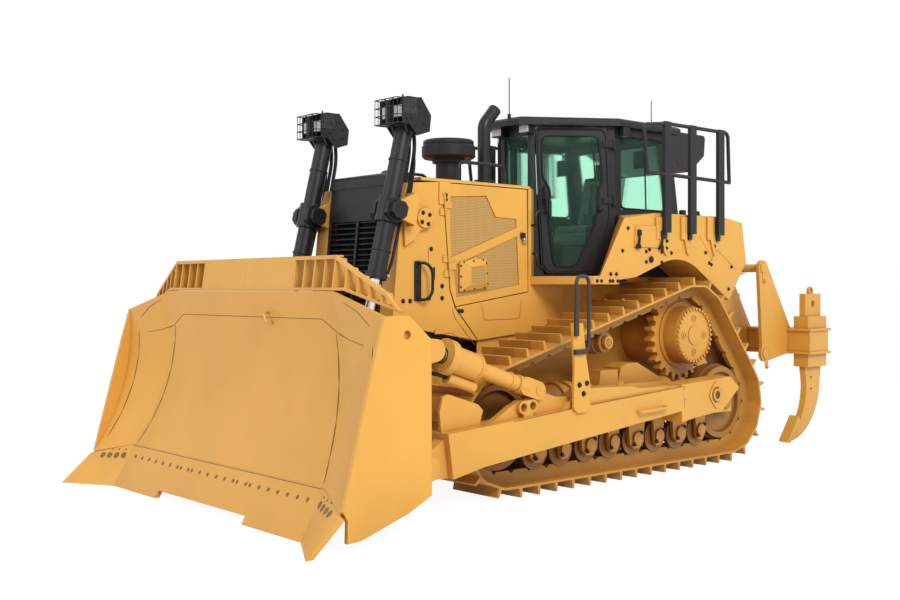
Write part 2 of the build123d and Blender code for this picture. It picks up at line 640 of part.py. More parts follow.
def engine_door_points():
    return [(1530 - GAP - 4, HOOD_TOP - 30 - GAP), (478, HOOD_TOP - 30 - GAP), (HOOD_REAR_X + 18 + GAP, 1737),
            (1372, 1608), (1445 - GAP - 4, 1751)]


def make_engine_door():
    """Side door with two screen openings divided by a slanting strip."""
    door = plate(engine_door_points(), NOSE_HALF - SIDE_SHEET, NOSE_HALF)
    upper = plate([(1445, 2575), (1000, 2605), (880, 2419), (620, 2411), (610, 2330), (1425, 2040)],
                  NOSE_HALF - 12, NOSE_HALF + 1)
    lower = plate([(1400, 1965), (608, 2250), (580, 1800), (1360, 1690)], NOSE_HALF - 12, NOSE_HALF + 1)
    box_body = plate([(1330, 1760), (1330, 1985), (1130, 2050), (1130, 1785)], NOSE_HALF - 14, NOSE_HALF + 14)
    door = door.cut(upper, lower).fuse(box_body)
    for z in HOOD_HINGE_Z:
        knuckle = hood_hinge_bar(z, -KNUCKLE_HALF + 1, KNUCKLE_HALF - 1, HOOD_KNUCKLE_R)
        bore = hood_hinge_bar(z, -2 * KNUCKLE_HALF, 2 * KNUCKLE_HALF, HOOD_PIVOT_R + PIN_FIT)
        door = door.fuse(hood_hinge_leaf(z, -1, 80), knuckle).cut(bore)
    return door


def make_lower_panel():
    under = CAB_FLOOR_Z - PLATFORM_DEPTH - GAP
    points = [(-15, under), (HOOD_REAR_X + 18, under), (HOOD_REAR_X + 18, 1737 - GAP),
              (1372, 1608 - GAP), (1100, 1300), (HOOD_REAR_X - 18, 1360), (0, 1480)]
    sheet = plate(points, NOSE_HALF - SIDE_SHEET, NOSE_HALF)
    foot = block(HOOD_REAR_X, 1080, HULL_HALF + FIT, NOSE_HALF - SIDE_SHEET + 1, 1130, 1340)
    return [sheet, foot]


def make_precleaner():
    base = Solid.make_cylinder(118, 190, Plane((1140, 250, HOOD_TOP + FIT)))
    neck = Solid.make_cylinder(150, 40, Plane((1140, 250, HOOD_TOP + FIT + 190)))
    bowl = Solid.make_cylinder(248, 130, Plane((1140, 250, HOOD_TOP + FIT + 230)))
    bowl = chamfer(bowl.edges().filter_by(GeomType.CIRCLE), 20)
    lid = Solid.make_cylinder(235, 40, Plane((1140, 250, HOOD_TOP + FIT + 360)))
    lid = chamfer(lid.edges().filter_by(GeomType.CIRCLE).sort_by(Axis.Z)[-1:], 14)
    return base.fuse(neck, bowl, lid)


def make_exhaust():
    flange = Solid.make_cylinder(95, 70, Plane((644, 200, HOOD_TOP + FIT)))
    stack = tube_run([(644, 200, HOOD_TOP + 40), (644, 200, 3330), (500, 200, 3490)], 62, 110)
    hollow = bar((560, 200, 3423), (490, 200, 3501), 54)
    return flange.fuse(stack).cut(hollow)


# ================================================================ cab
def door_plane(s, z, out=0.0):
    """Point at s along the door wall from its front corner, at height z, out from its face."""
    length = hypot(DOOR_REAR[0] - DOOR_FRONT[0], DOOR_REAR[1] - DOOR_FRONT[1])
    tx, ty = (DOOR_REAR[0] - DOOR_FRONT[0]) / length, (DOOR_REAR[1] - DOOR_FRONT[1]) / length
    return Vector(DOOR_FRONT[0] + s * tx + out * ty, DOOR_FRONT[1] + s * ty - out * tx, z)


def door_slab(points, out_low, out_high):
    """Solid on the door wall: an outline of (s, z) between two distances out from its face."""
    rim = Wire.make_polygon([door_plane(s, z, out_low) for s, z in points], close=True)
    push = door_plane(0, 0, out_high) - door_plane(0, 0, out_low)
    return Solid.extrude(Face(rim), push)


def rounded_door_slab(points, out_low, out_high, radius):
    body = door_slab(points, out_low, out_high)
    normal = (door_plane(0, 0, 1) - door_plane(0, 0, 0)).normalized()
    edges = [e for e in body.edges() if abs(abs((e % 0.5).dot(normal)) - 1) < 1e-6]
    return fillet(edges, radius)


DOOR_OUTLINE = [(22, CAB_EAVE_Z - 16), (738, CAB_EAVE_Z - 16), (785, 2455), (600, DOOR_SILL_Z), (130, DOOR_SILL_Z), (78, 2010),
                (50, 2644)]
DOOR_GLASS = [(84, CAB_EAVE_Z - 100), (656, CAB_EAVE_Z - 100), (692, 2819), (640, 2735), (628, 2430), (428, 1985), (204, 1985),
              (146, 2446), (172, 2744), (90, 2866)]


def cab_ring(inset, z):
    """Plan of the cab walls at a height, inset from the outer face."""
    rear = rear_wall_x(z)
    front, back = DOOR_FRONT, DOOR_REAR
    half = [(front[0] + 18 - inset, front[1] - 8 - 0.33 * inset), (back[0] - 12 - 0.1 * inset, CAB_SIDE_Y - inset),
            (rear + inset, CAB_SIDE_Y - inset)]
    ring = half + [(x, -y) for x, y in reversed(half)]
    return [Vector(x, y, z) for x, y in ring]


def cab_prism(inset, z_low, z_high):
    low = Face(Wire.make_polygon(cab_ring(inset, z_low), close=True))
    high = Face(Wire.make_polygon(cab_ring(inset, z_high), close=True))
    return Solid.make_loft([low.outer_wire(), high.outer_wire()], True)


def side_window_points():
    return [(-735, WINDOW_HEAD_Z), (-1480, WINDOW_HEAD_Z), (-1560, WINDOW_SILL_Z), (-745, WINDOW_SILL_Z)]


def make_cab_frame():
    shell = cab_prism(0, CAB_FLOOR_Z + FIT, CAB_EAVE_Z)
    shell = shell.cut(cab_prism(CAB_WALL, CAB_FLOOR_Z - 5, CAB_EAVE_Z + 5))
    door_way = [(s + ds, z + dz) for (s, z), (ds, dz) in zip(
        DOOR_OUTLINE, ((-GAP, GAP), (GAP, GAP), (GAP, 0), (GAP, -GAP), (-GAP, -GAP), (-GAP, 0), (-GAP, 0)))]
    opening = door_slab(door_way, -170, 90)
    shell = shell.cut(opening, mirrored(opening))
    window = plate(side_window_points(), CAB_SIDE_Y - CAB_WALL - 20, CAB_SIDE_Y + 20)
    shell = shell.cut(window, mirrored(window))
    front = block(-80, 80, -SCREEN_HALF, SCREEN_HALF, HOOD_TOP + 40, SCREEN_HEAD_Z)
    rear = block(-1900, -1450, -REAR_GLASS_HALF, REAR_GLASS_HALF, REAR_SILL_Z, REAR_HEAD_Z)
    shell = shell.cut(front, rear)
    mounts = make_door_pivots()
    return shell.fuse(*mounts, *[mirrored(piece) for piece in mounts])


def make_door_pivots():
    """Hinge pins of one cab door, each held by a bracket above and below its knuckle."""
    pieces = []
    for z in DOOR_HINGE_Z:
        reach = KNUCKLE_HALF + HINGE_TAB
        for low, high in ((z - reach, z - KNUCKLE_HALF - FIT), (z + KNUCKLE_HALF + FIT, z + reach)):
            corner = [(HINGE_S - 11, low), (HINGE_S + 30, low), (HINGE_S + 30, high), (HINGE_S - 11, high)]
            pieces.append(door_slab(corner, -20, HINGE_OUT + 12))
        foot = door_plane(HINGE_S, z - reach + 2, HINGE_OUT)
        pieces.append(Solid.make_cylinder(PIVOT_R, 2 * reach - 4, Plane(foot)))
    return pieces


def make_cab_floor():
    plan = cab_ring(0, CAB_FLOOR_Z)
    floor = Solid.extrude(Face(Wire.make_polygon(plan, close=True)), Vector(0, 0, -50))
    legs = block(-1500, 60, -HULL_HALF, HULL_HALF, CASE_TOP + FIT, CAB_FLOOR_Z - 50)
    carrier = block(-1790, -1670, -FENDER_IN_Y + FIT, FENDER_IN_Y - FIT, CAB_FLOOR_Z - 50, CAB_FLOOR_Z)
    return floor.fuse(legs, carrier)


def make_cab_roof():
    corners = cab_ring(-ROOF_OVERHANG, CAB_EAVE_Z)
    ends = (corners[0], corners[-1])
    front = [Vector(v.X + ROOF_VISOR - ROOF_OVERHANG, v.Y, 0) for v in ends]
    plan = [Vector(v.X, v.Y, CAB_EAVE_Z + FIT) for v in (front[0], *corners[1:-1], front[1])]
    roof = Solid.extrude(Face(Wire.make_polygon(plan, close=True)), Vector(0, 0, ROOF_DEPTH - FIT))
    top = [e for e in roof.edges() if abs(e.center().Z - CAB_ROOF_TOP) < 1]
    return chamfer(top, 24)


def rear_wall_x(z):
    share = (z - CAB_FLOOR_Z) / (CAB_EAVE_Z - CAB_FLOOR_Z)
    return CAB_REAR_FOOT_X + share * (CAB_REAR_TOP_X - CAB_REAR_FOOT_X)


def make_rear_box():
    """Air conditioning unit hung behind the top of the cab's rear wall."""
    low, high = CAB_EAVE_Z - 88, CAB_EAVE_Z - GAP
    behind = CAB_REAR_TOP_X - ROOF_OVERHANG - GAP
    top = CAB_ROOF_TOP + 18
    side = [(rear_wall_x(low) - FIT, low), (rear_wall_x(high) - FIT, high), (behind, high), (behind, top),
            (-2440, top), (-2466, top - 26), (-2448, top - 226), (-2190, top - 423), (-1950, top - 330)]
    return plate(side, -REAR_BOX_HALF, REAR_BOX_HALF)


def make_antennas():
    """Whip antennas on the roof's front edge and on the unit behind it."""
    whips = []
    for x, y, z in ((ANTENNA_X, 70, CAB_ROOF_TOP + FIT), (-2064, 62, CAB_ROOF_TOP + 18 + FIT)):
        base = Solid.make_cylinder(18, 40, Plane((x, y, z)))
        rod = Solid.make_cylinder(ANTENNA_RADIUS, ANTENNA_LENGTH, Plane((x, y, z)))
        whips.append(base.fuse(rod))
    return whips


def make_cab_glass():
    """Windscreen, side windows and rear window, each within its own wall."""
    half = SCREEN_HALF - FIT
    front = block(-19, -11, -half, half, HOOD_TOP + 40 + FIT, SCREEN_HEAD_Z - FIT)
    sides = []
    inset = [(x + dx * FIT, z + dz * FIT) for (x, z), (dx, dz) in zip(
        side_window_points(), ((-1, -1), (1, -1), (1, 1), (-1, 1)))]
    for y in (CAB_SIDE_Y - 24, -CAB_SIDE_Y + 16):
        sides.append(plate(inset, y, y + GLASS))
    foot, head = rear_wall_x(REAR_SILL_Z) + 18, rear_wall_x(REAR_HEAD_Z) + 18
    low, high = REAR_SILL_Z + FIT, REAR_HEAD_Z - FIT
    rear = plate([(foot, low), (foot + GLASS, low), (head + GLASS, high), (head, high)],
                 -REAR_GLASS_HALF + FIT, REAR_GLASS_HALF - FIT)
    return [front, *sides, rear]


def make_cab_door():
    door = rounded_door_slab(DOOR_OUTLINE, -12, DOOR_THICKNESS - 12, 40)
    hole = rounded_door_slab(DOOR_GLASS, -20, DOOR_THICKNESS, 30)
    door = door.cut(hole)
    outer = DOOR_THICKNESS - 12
    for z in DOOR_HINGE_Z:
        low, high = z - KNUCKLE_HALF, z + KNUCKLE_HALF
        strap = door_slab([(HINGE_S - 110, low), (HINGE_S, low), (HINGE_S, high), (HINGE_S - 110, high)],
                          outer - 2, HINGE_OUT + 4)
        knuckle = Solid.make_cylinder(KNUCKLE_R, 2 * KNUCKLE_HALF, Plane(door_plane(HINGE_S, low, HINGE_OUT)))
        bore = Solid.make_cylinder(PIVOT_R + PIN_FIT, 2 * KNUCKLE_HALF + 10, Plane(door_plane(HINGE_S, low - 5, HINGE_OUT)))
        door = door.fuse(strap, knuckle).cut(bore)
    return door


def make_door_glass():
    points = shrink(DOOR_GLASS, FIT)
    return rounded_door_slab(points, 10, 10 + GLASS, 30 - FIT)


def shrink(points, inset):
    """Outline moved in by a small distance at every corner."""
    middle_s = sum(p[0] for p in points) / len(points)
    middle_z = sum(p[1] for p in points) / len(points)
    moved = []
    for s, z in points:
        reach = hypot(s - middle_s, z - middle_z)
        share = 1 - 1.6 * inset / reach
        moved.append((middle_s + share * (s - middle_s), middle_z + share * (z - middle_z)))
    return moved


def make_seat():
    pedestal = block(-1250, -900, -200, 200, CAB_FLOOR_Z + FIT, 2230)
    cushion = fillet(block(-1280, -780, -250, 250, 2230, 2350).edges(), 35)
    back = plate([(-1280, 2330), (-1400, 2950), (-1290, 2970), (-1160, 2340)], -240, 240)
    head = plate([(-1396, 2930), (-1412, 3110), (-1330, 3120), (-1306, 2930)], -130, 130)
    return pedestal.fuse(cushion, back, head)


def make_console():
    front = DOOR_FRONT[0] + 18 - CAB_WALL - 1
    dash = plate([(front, CAB_FLOOR_Z + FIT), (front, 2620), (-120, 2640), (-260, 2480), (-180, 2300),
                  (-180, CAB_FLOOR_Z + FIT)], -140, 140)
    arms = []
    for y in (-420, 300):
        rest = block(-1150, -650, y, y + 120, 2440, 2520)
        stand = block(-1000, -850, y + 20, y + 100, CAB_FLOOR_Z + FIT, 2440)
        lever = Solid.make_cylinder(22, 150, Plane((-700, y + 60, 2520)))
        arms.append(rest.fuse(stand, lever))
    return [dash, *arms]


# ================================================================ fenders and tank
def make_fender():
    """One side's fender box over the track, with its arch over the sprocket."""
    side = outline((230, 1806), (-398, 1874), (-763, 1998), ((-1060, 2052), (-1330, 1985)), (-1751, 1739),
                   (-1910, 1645), (-2218, 2046), (-2144, 2456), (-1786, 2505), (-686, 2495), (-100, 2410),
                   (260, 1902))
    body = slab(side, FENDER_IN_Y, FENDER_OUT_Y)
    wall = [Vector(-480, 580, 1760), Vector(240, 1245, 1760), Vector(900, 1245, 1760), Vector(900, 580, 1760)]
    wall_top = [Vector(-830, 660, 2600), Vector(-290, 1245, 2600), Vector(900, 1245, 2600), Vector(900, 580, 2600)]
    front_cut = Solid.make_loft([Wire.make_polygon(wall, close=True), Wire.make_polygon(wall_top, close=True)], True)
    body = body.cut(front_cut, door_sweep())
    inner_y = NOSE_HALF + FIT
    plan = [(HOOD_REAR_X - 10, inner_y), (PLATFORM_CORNER_X, FENDER_OUT_Y), (-150, FENDER_OUT_Y),
            (-640, FENDER_IN_Y + 1), (-495, inner_y)]
    base = Face(Wire.make_polygon([Vector(x, y, CAB_FLOOR_Z - PLATFORM_DEPTH) for x, y in plan], close=True))
    platform = Solid.extrude(base, Vector(0, 0, PLATFORM_DEPTH))
    return body.fuse(platform)


def door_sweep():
    """Room that the left cab door swings through, inboard of its fully open place."""
    hinge = door_plane(HINGE_S, DOOR_SILL_Z - GAP, HINGE_OUT)
    heading = atan2(DOOR_FRONT[1] - DOOR_REAR[1], DOOR_FRONT[0] - DOOR_REAR[0]) + radians(DOOR_OPENING + 0.5)
    reach = HINGE_S + GAP
    tip = Vector(hinge.X + reach * cos(heading), hinge.Y + reach * sin(heading), hinge.Z)
    plan = [Vector(hinge.X - 60, hinge.Y - 60, hinge.Z), hinge, tip, Vector(tip.X, hinge.Y - 60, hinge.Z)]
    return Solid.extrude(Face(Wire.make_polygon(plan, close=True)), Vector(0, 0, 700))


def make_tank():
    """Fuel tank across the rear, between the fenders and behind the cab."""
    side = outline((TANK_REAR_X, 2085), (TANK_REAR_X, 2400), ((TANK_REAR_X + 20, 2440), (TANK_REAR_X + 60, 2450)),
                   (TANK_FRONT_X, 2450), (TANK_FRONT_X, 1790), (PITCH_FOOT[0], 1805))
    return slab(side, -FENDER_IN_Y + FIT, FENDER_IN_Y - FIT)


def make_handrails():
    """Three posts with top and middle tubes on each side's fender."""
    pieces = []
    y = FENDER_OUT_Y + 22
    for x in POST_X:
        foot = block(x - 25, x + 25, FENDER_OUT_Y + FIT, y, POST_FOOT, POST_FOOT + 200)
        post = block(x - POST_WIDTH / 2, x + POST_WIDTH / 2, y, y + 36, POST_FOOT + 60, POST_TOP)
        pieces += [foot, post]
    front, rear = POST_X[0] + 300, POST_X[-1] - 130
    top = tube_run([(front, y + 18, RAIL_MID_Z + 20), (front + 60, y + 18, POST_TOP - 60),
                    (POST_X[0], y + 18, POST_TOP - 20), (rear, y + 18, POST_TOP - 20),
                    (rear - 25, y + 18, RAIL_MID_Z)], RAIL_TUBE, 60)
    middle = bar((front, y + 18, RAIL_MID_Z + 20), (rear - 25, y + 18, RAIL_MID_Z), RAIL_TUBE)
    joint = Solid.make_sphere(RAIL_TUBE, Plane((front, y + 18, RAIL_MID_Z + 20)), -90, 90, 360)
    joint_rear = Solid.make_sphere(RAIL_TUBE, Plane((rear - 25, y + 18, RAIL_MID_Z)), -90, 90, 360)
    return pieces[0].fuse(*pieces[1:], top, middle, joint, joint_rear)


# ================================================================ push arms
def make_push_arm():
    beam = plate([(2257, 296), (2310, 649), (-665, 850), (-684, 623), (1930, 358)], ARM_IN_Y, ARM_OUT_Y)
    heel = plate([(-599, 862), (-1393, 900), (-1530, 781), (-1255, 581), (-1195, 568), (-805, 538), (-608, 508)],
                 ARM_IN_Y, ARM_OUT_Y)
    nose = lug(BLADE_PIN, 92, (2257, 300), (2300, 600), TILT_Y - 55, TILT_Y + 55)
    crest = plate([(1010, 700), (930, 790), (821, 833), (700, 890), (651, 903), (116, 889), (-23, 863),
                   (-620, 855), (-620, 700)], ARM_IN_Y + 15, ARM_OUT_Y - 25)
    shield = plate([(2303, 809), (2270, 925), (2210, 940), (1900, 842), (1845, 790), (1892, 640), (2282, 600)],
                   TILT_Y - 25, TILT_Y + 5)
    arm = beam.fuse(heel, nose, crest, shield, *make_tilt_lug())
    for bore in TIE_BORES:
        arm = arm.cut(disc(bore, TIE_BORE_R, TILT_Y - TILT_LUG_HALF - 1, TILT_Y + TIE_BOSS_OUT + 1))
    arm = arm.cut(disc(TRUNNION, TRUNNION_RADIUS + PIN_FIT, ARM_IN_Y - 10, ARM_OUT_Y + 10))
    arm = arm.cut(disc(BLADE_PIN, BLADE_PIN_RADIUS + PIN_FIT, TILT_Y - 80, TILT_Y + 80))
    return arm


def make_tilt_lug():
    """Rising web and round head on one arm for the tilt cylinder's fork, its pin and the tie-down boss."""
    x, z = TILT_FOOT
    web = outline((1782, 680), (1549, 808), (x + 56, z - 44), ((x, z + 71), (x - 60, z + 37)), (1150, 885),
                  (1028, 851), (821, 833), (700, 740))
    boss = [disc(bore, TIE_BOSS_R, TILT_Y - TILT_LUG_HALF, TILT_Y + TIE_BOSS_OUT) for bore in TIE_BORES]
    (ahead_x, ahead_z), (behind_x, behind_z) = TIE_BORES
    bridge = plate([(ahead_x, ahead_z + TIE_BOSS_R), (behind_x, behind_z + TIE_BOSS_R),
                    (behind_x, 690), (ahead_x, 690)], TILT_Y - TILT_LUG_HALF, TILT_Y + TIE_BOSS_OUT)
    pin = disc(TILT_FOOT, 38, TILT_Y - TILT_FORK_OUT, TILT_Y + TILT_FORK_OUT + 4)
    return [slab(web, TILT_Y - TILT_LUG_HALF, TILT_Y + TILT_LUG_HALF), *boss, bridge, pin]


def make_step_post():
    """Post on one push arm with a loop handle, its grip and a foot bar."""
    face = ARM_OUT_Y + 24
    post = plate([(917, 883), (908, 1079), (935, 1473), (800, 1470), (787, 1356), (762, 1185), (708, 927),
                  (708, 750), (762, 706), (871, 706), (917, 750)], ARM_OUT_Y + FIT, face)
    y = face + 14
    handle = tube_run([(901, y, 1361), (901, y, 1870), (745, y, 1870), (745, y, 1226), (825, y, 1226)], 16, 60)
    grip = bar((901, y, 1361), (901, y, 1606), 24)
    foot_bar = bar((800, y, 1226), (925, y, 1226), 22)
    return post.fuse(handle, grip, foot_bar)


# ================================================================ blade
def blade_section(y_top, y_low, shift_top, shift_low, top_z, low_z):
    """Closed section of the moldboard sheet on a plane that may lean in Y, with its face arc."""
    def spot(x, z):
        share = (top_z - z) / (top_z - low_z)
        return Vector(x, y_top + share * (y_low - y_top), z)
    middle = (shift_top + shift_low) / 2
    face = (spot(3173 + shift_top, top_z), spot(3140 + middle, 1010), spot(FACE_FOOT_X + shift_low, low_z))
    back = (spot(3173 + shift_top - FACE_PLATE, top_z), spot(3140 + middle - FACE_PLATE, 1005),
            spot(FACE_FOOT_X + shift_low - FACE_PLATE, low_z - 20))
    return Wire([Edge.make_three_point_arc(*face), Edge.make_line(face[2], back[2]),
                 Edge.make_three_point_arc(back[2], back[1], back[0]), Edge.make_line(back[0], face[0])])


def back_section(y, shift, low_z):
    """Section of the box along the blade's foot, behind the sheet."""
    foot = FACE_FOOT_X - FACE_PLATE - 3 + shift
    return Wire.make_polygon([at(p, y) for p in (
        (foot, low_z - 17), (foot, low_z - 55), (2960, 250), (BACK_BOX_X, 330), (BACK_BOX_X, 760),
        (2880, 800), (3125 + 0.4 * shift, 800), (3150 + 0.5 * shift, 660))], close=True)


def make_moldboard():
    """Curved face in a middle length and two wings, on a box-section back."""
    corner = blade_section(BLADE_CORNER_Y, END_BIT_Y, 0, 0, BLADE_TOP_Z, FACE_FOOT_Z)
    far_corner = blade_section(-BLADE_CORNER_Y, -END_BIT_Y, 0, 0, BLADE_TOP_Z, FACE_FOOT_Z)
    end = blade_section(BLADE_END_Y, BLADE_END_Y, 58, 190, WING_TOP_Z, WING_FOOT_Z)
    middle = Solid.make_loft([far_corner, corner], True)
    wing = Solid.make_loft([corner, end], True)
    box = Solid.make_loft([back_section(-END_BIT_Y, 0, FACE_FOOT_Z), back_section(END_BIT_Y, 0, FACE_FOOT_Z)], True)
    box_wing = Solid.make_loft([back_section(END_BIT_Y, 0, FACE_FOOT_Z),
                                back_section(BLADE_END_Y, 190, WING_FOOT_Z)], True)
    upper = plate([(3125, 1560), (2970, 1545), (2930, 1440), (3110, 1380)], -BLADE_END_Y, BLADE_END_Y)
    ribs = []
    for y_low, y_high in ((-15, 15), (930, 960), (LIFT_Y - 95, LIFT_Y - 60), (LIFT_Y + 60, LIFT_Y + 95),
                          (TILT_Y - 115, TILT_Y - 60), (TILT_Y + 60, TILT_Y + 115)):
        rib = plate([(3110, 1500), (2935, 1490), (2890, 1100), (BACK_BOX_X + 10, 780), (3110, 790)], y_low, y_high)
        ribs += [rib, mirrored(rib)]
    welded = [wing, box_wing, make_end_plate(), *make_blade_lugs()]
    return middle.fuse(box, upper, *ribs, *welded, *[mirrored(shape) for shape in welded])


def make_blade_lugs():
    """Clevises on the blade's back for the push arms, tilt cylinders and lift cylinders."""
    arm_ears = []
    ears = []
    for low, high in ((TILT_Y - 115, TILT_Y - 62), (TILT_Y + 62, TILT_Y + 115)):
        arm_ears.append(lug(BLADE_PIN, 95, (BACK_BOX_X + 20, 345), (BACK_BOX_X + 20, 700), low, high))
        ears.append(lug(TILT_EYE, 85, (2920, 1120), (2955, 1440), low, high))
    for low, high in ((LIFT_Y - 95, LIFT_Y - 60), (LIFT_Y + 60, LIFT_Y + 95)):
        ears.append(lug(LIFT_EYE, 78, (BACK_BOX_X + 20, 560), (2905, 1000), low, high))
    pin = disc(BLADE_PIN, BLADE_PIN_RADIUS, TILT_Y - 115, TILT_Y + 115)
    return [*arm_ears, pin, *ears]


def make_end_plate():
    face = [(3231, 1574), (3010, 1575), (2810, 1403), (2805, 296), (3020, 195), (3430, 65), (3545, 60),
            (3542, 215), (3578, 276), (3310, 1294)]
    end = plate(face, BLADE_END_Y - 1, BLADE_END_Y + END_PLATE)
    return end.cut(disc((3030, 1440), 32, BLADE_END_Y - 5, BLADE_END_Y + END_PLATE + 5))


def edge_strip(y_low, y_high, tip_z):
    """Bolt-on edge that carries the face's slope on to the ground."""
    run, drop = EDGE_TIP_X - FACE_FOOT_X, FACE_FOOT_Z
    length = hypot(run, drop)
    step = (EDGE_SEAT * run / length, -EDGE_SEAT * drop / length)
    behind = (-EDGE_PLATE * drop / length, -EDGE_PLATE * run / length)
    tip_x = EDGE_TIP_X - tip_z * run / drop
    back_x = tip_x - EDGE_PLATE * length / drop
    return plate([(FACE_FOOT_X + step[0], FACE_FOOT_Z + step[1]), (tip_x, tip_z), (back_x, tip_z),
                  (FACE_FOOT_X + step[0] + behind[0], FACE_FOOT_Z + step[1] + behind[1])], y_low, y_high)


def make_end_bit():
    """Corner bit that flares forward and out from the side edge to the blade's tip."""
    inner = [(FACE_FOOT_X + 2, FACE_FOOT_Z - 2), (EDGE_TIP_X, 0), (EDGE_TIP_X - 46, 0), (FACE_FOOT_X - 30, FACE_FOOT_Z - 21)]
    outer = [(3596, WING_FOOT_Z - 12), (TIP_X, 0), (TIP_X - 62, 0), (3566, WING_FOOT_Z - 42)]
    return Solid.make_loft([Wire.make_polygon([at(p, END_BIT_Y + FIT) for p in inner], close=True),
                            Wire.make_polygon([at(p, TIP_Y) for p in outer], close=True)], True)


def make_cutting_edges():
    """Bolt-on edges along the foot of the face, one in the middle and one each side."""
    side = edge_strip(CENTRE_EDGE_Y + FIT, END_BIT_Y, 0)
    return [edge_strip(-CENTRE_EDGE_Y, CENTRE_EDGE_Y, 60), side, mirrored(side)]


def guard_x(y, z):
    """Rear-leaning plane of the guard's wing, drawn back towards its end."""
    return 3158 - (0.2225 * (y - 1225) + 0.1448 * (z - BLADE_TOP_Z))


def make_spill_guard():
    """Slotted guard along the top of the face, solid in its middle."""
    half, top = 1231, GUARD_TOP_Z
    foot = BLADE_TOP_Z + FIT
    middle = plate_between([(3158, -half, foot), (3158, half, foot), (3118, half, top), (3118, -half, top)])
    corners = [(1231, foot), (1231, top), (1740, 1735), (1890, 1592), (1345, foot)]
    wing = plate_between([(guard_x(y, z), y, z) for y, z in corners])
    slots = []
    for index in range(7):
        y = 770 + index * 66
        slots.append(block(3050, 3250, y, y + 38, foot + 45, top - 45))
    for index in range(6):
        y = 1275 + index * 66
        high = 1735 + (1740 - y - 38) * (top - 1735) / (1740 - 1231) - 40
        low = 1592 + (1890 - y) * (foot - 1592) / (1890 - 1231) + 40
        slots.append(block(2950, 3250, y, y + 38, low, high))
    lip = block(3040, 3120, -half, half, top - 14, top)
    guard = middle.fuse(wing, mirrored(wing), lip)
    return guard.cut(*slots, *[mirrored(slot) for slot in slots])


def plate_between(corners):
    face = Face(Wire.make_polygon([Vector(*corner) for corner in corners], close=True))
    return Solid.extrude(face, Vector(-GUARD_PLATE, 0, 0))


# ================================================================ cylinders
def make_lift_barrel():
    """Lift cylinder barrel hung in its trunnion, with the rod's bore open below."""
    barrel = rod_solid(LIFT_YOKE, LIFT_EYE, LIFT_Y, -LIFT_BARREL_UP, LIFT_BARREL_DOWN, LIFT_BARREL_R)
    reach = YOKE_GAP + YOKE_PLATE
    trunnion = disc(LIFT_YOKE, 40, LIFT_Y - reach, LIFT_Y + reach)
    collar = rod_solid(LIFT_YOKE, LIFT_EYE, LIFT_Y, -85, 85, LIFT_BARREL_R + 20)
    body = barrel.fuse(trunnion, collar)
    bore = rod_solid(LIFT_YOKE, LIFT_EYE, LIFT_Y, -LIFT_BARREL_UP + LIFT_END_WALL, LIFT_BARREL_DOWN - LIFT_GLAND,
                     LIFT_BORE_R)
    gland = rod_solid(LIFT_YOKE, LIFT_EYE, LIFT_Y, 0, LIFT_BARREL_DOWN + 5, LIFT_ROD_R + PIN_FIT)
    return body.cut(bore, gland)


def lift_length():
    return hypot(LIFT_EYE[0] - LIFT_YOKE[0], LIFT_EYE[1] - LIFT_YOKE[1])


def make_lift_rod():
    rod = rod_solid(LIFT_YOKE, LIFT_EYE, LIFT_Y, lift_length() - LIFT_ROD_LENGTH, lift_length(), LIFT_ROD_R)
    eye = disc(LIFT_EYE, 70, LIFT_Y - 52, LIFT_Y + 52)
    piston = rod_solid(LIFT_YOKE, LIFT_EYE, LIFT_Y, lift_length() - LIFT_ROD_LENGTH,
                       lift_length() - LIFT_ROD_LENGTH + LIFT_PISTON, LIFT_BORE_R - PIN_FIT)
    return rod.fuse(eye, piston)


def make_lamp_guard():
    """Lamp bracket on the top of one lift cylinder barrel, with two lamps."""
    top = along(LIFT_YOKE, LIFT_EYE, -LAMP_STAND_UP)
    x, z = top
    cheek = [(x - 120, z - 60), (x - 150, z + 60), (x - 60, z + 190), (x + 70, z + 190), (x + 130, z + 60), (x + 60, z - 120)]
    half = LAMP_BRACKET_HALF
    inner = plate(cheek, LIFT_Y - half, LIFT_Y - LIFT_BARREL_R - FIT)
    outer = plate(cheek, LIFT_Y + LIFT_BARREL_R + FIT, LIFT_Y + half)
    bridge = block(x - 60, x + 70, LIFT_Y - half, LIFT_Y + half, z + 150, z + 190)
    return inner.fuse(outer, bridge)


def make_lamps():
    top = along(LIFT_YOKE, LIFT_EYE, -LAMP_STAND_UP)
    lamps = []
    for y in (LIFT_Y - LAMP_BRACKET_HALF - FIT - LAMP_WIDTH, LIFT_Y + LAMP_BRACKET_HALF + FIT):
        lamp = block(top[0] + 20, top[0] + 150, y, y + LAMP_WIDTH, top[1] + 30, top[1] + 160)
        lamps.append(lamp)
    return lamps


def tilt_length():
    return hypot(TILT_EYE[0] - TILT_FOOT[0], TILT_EYE[1] - TILT_FOOT[1])


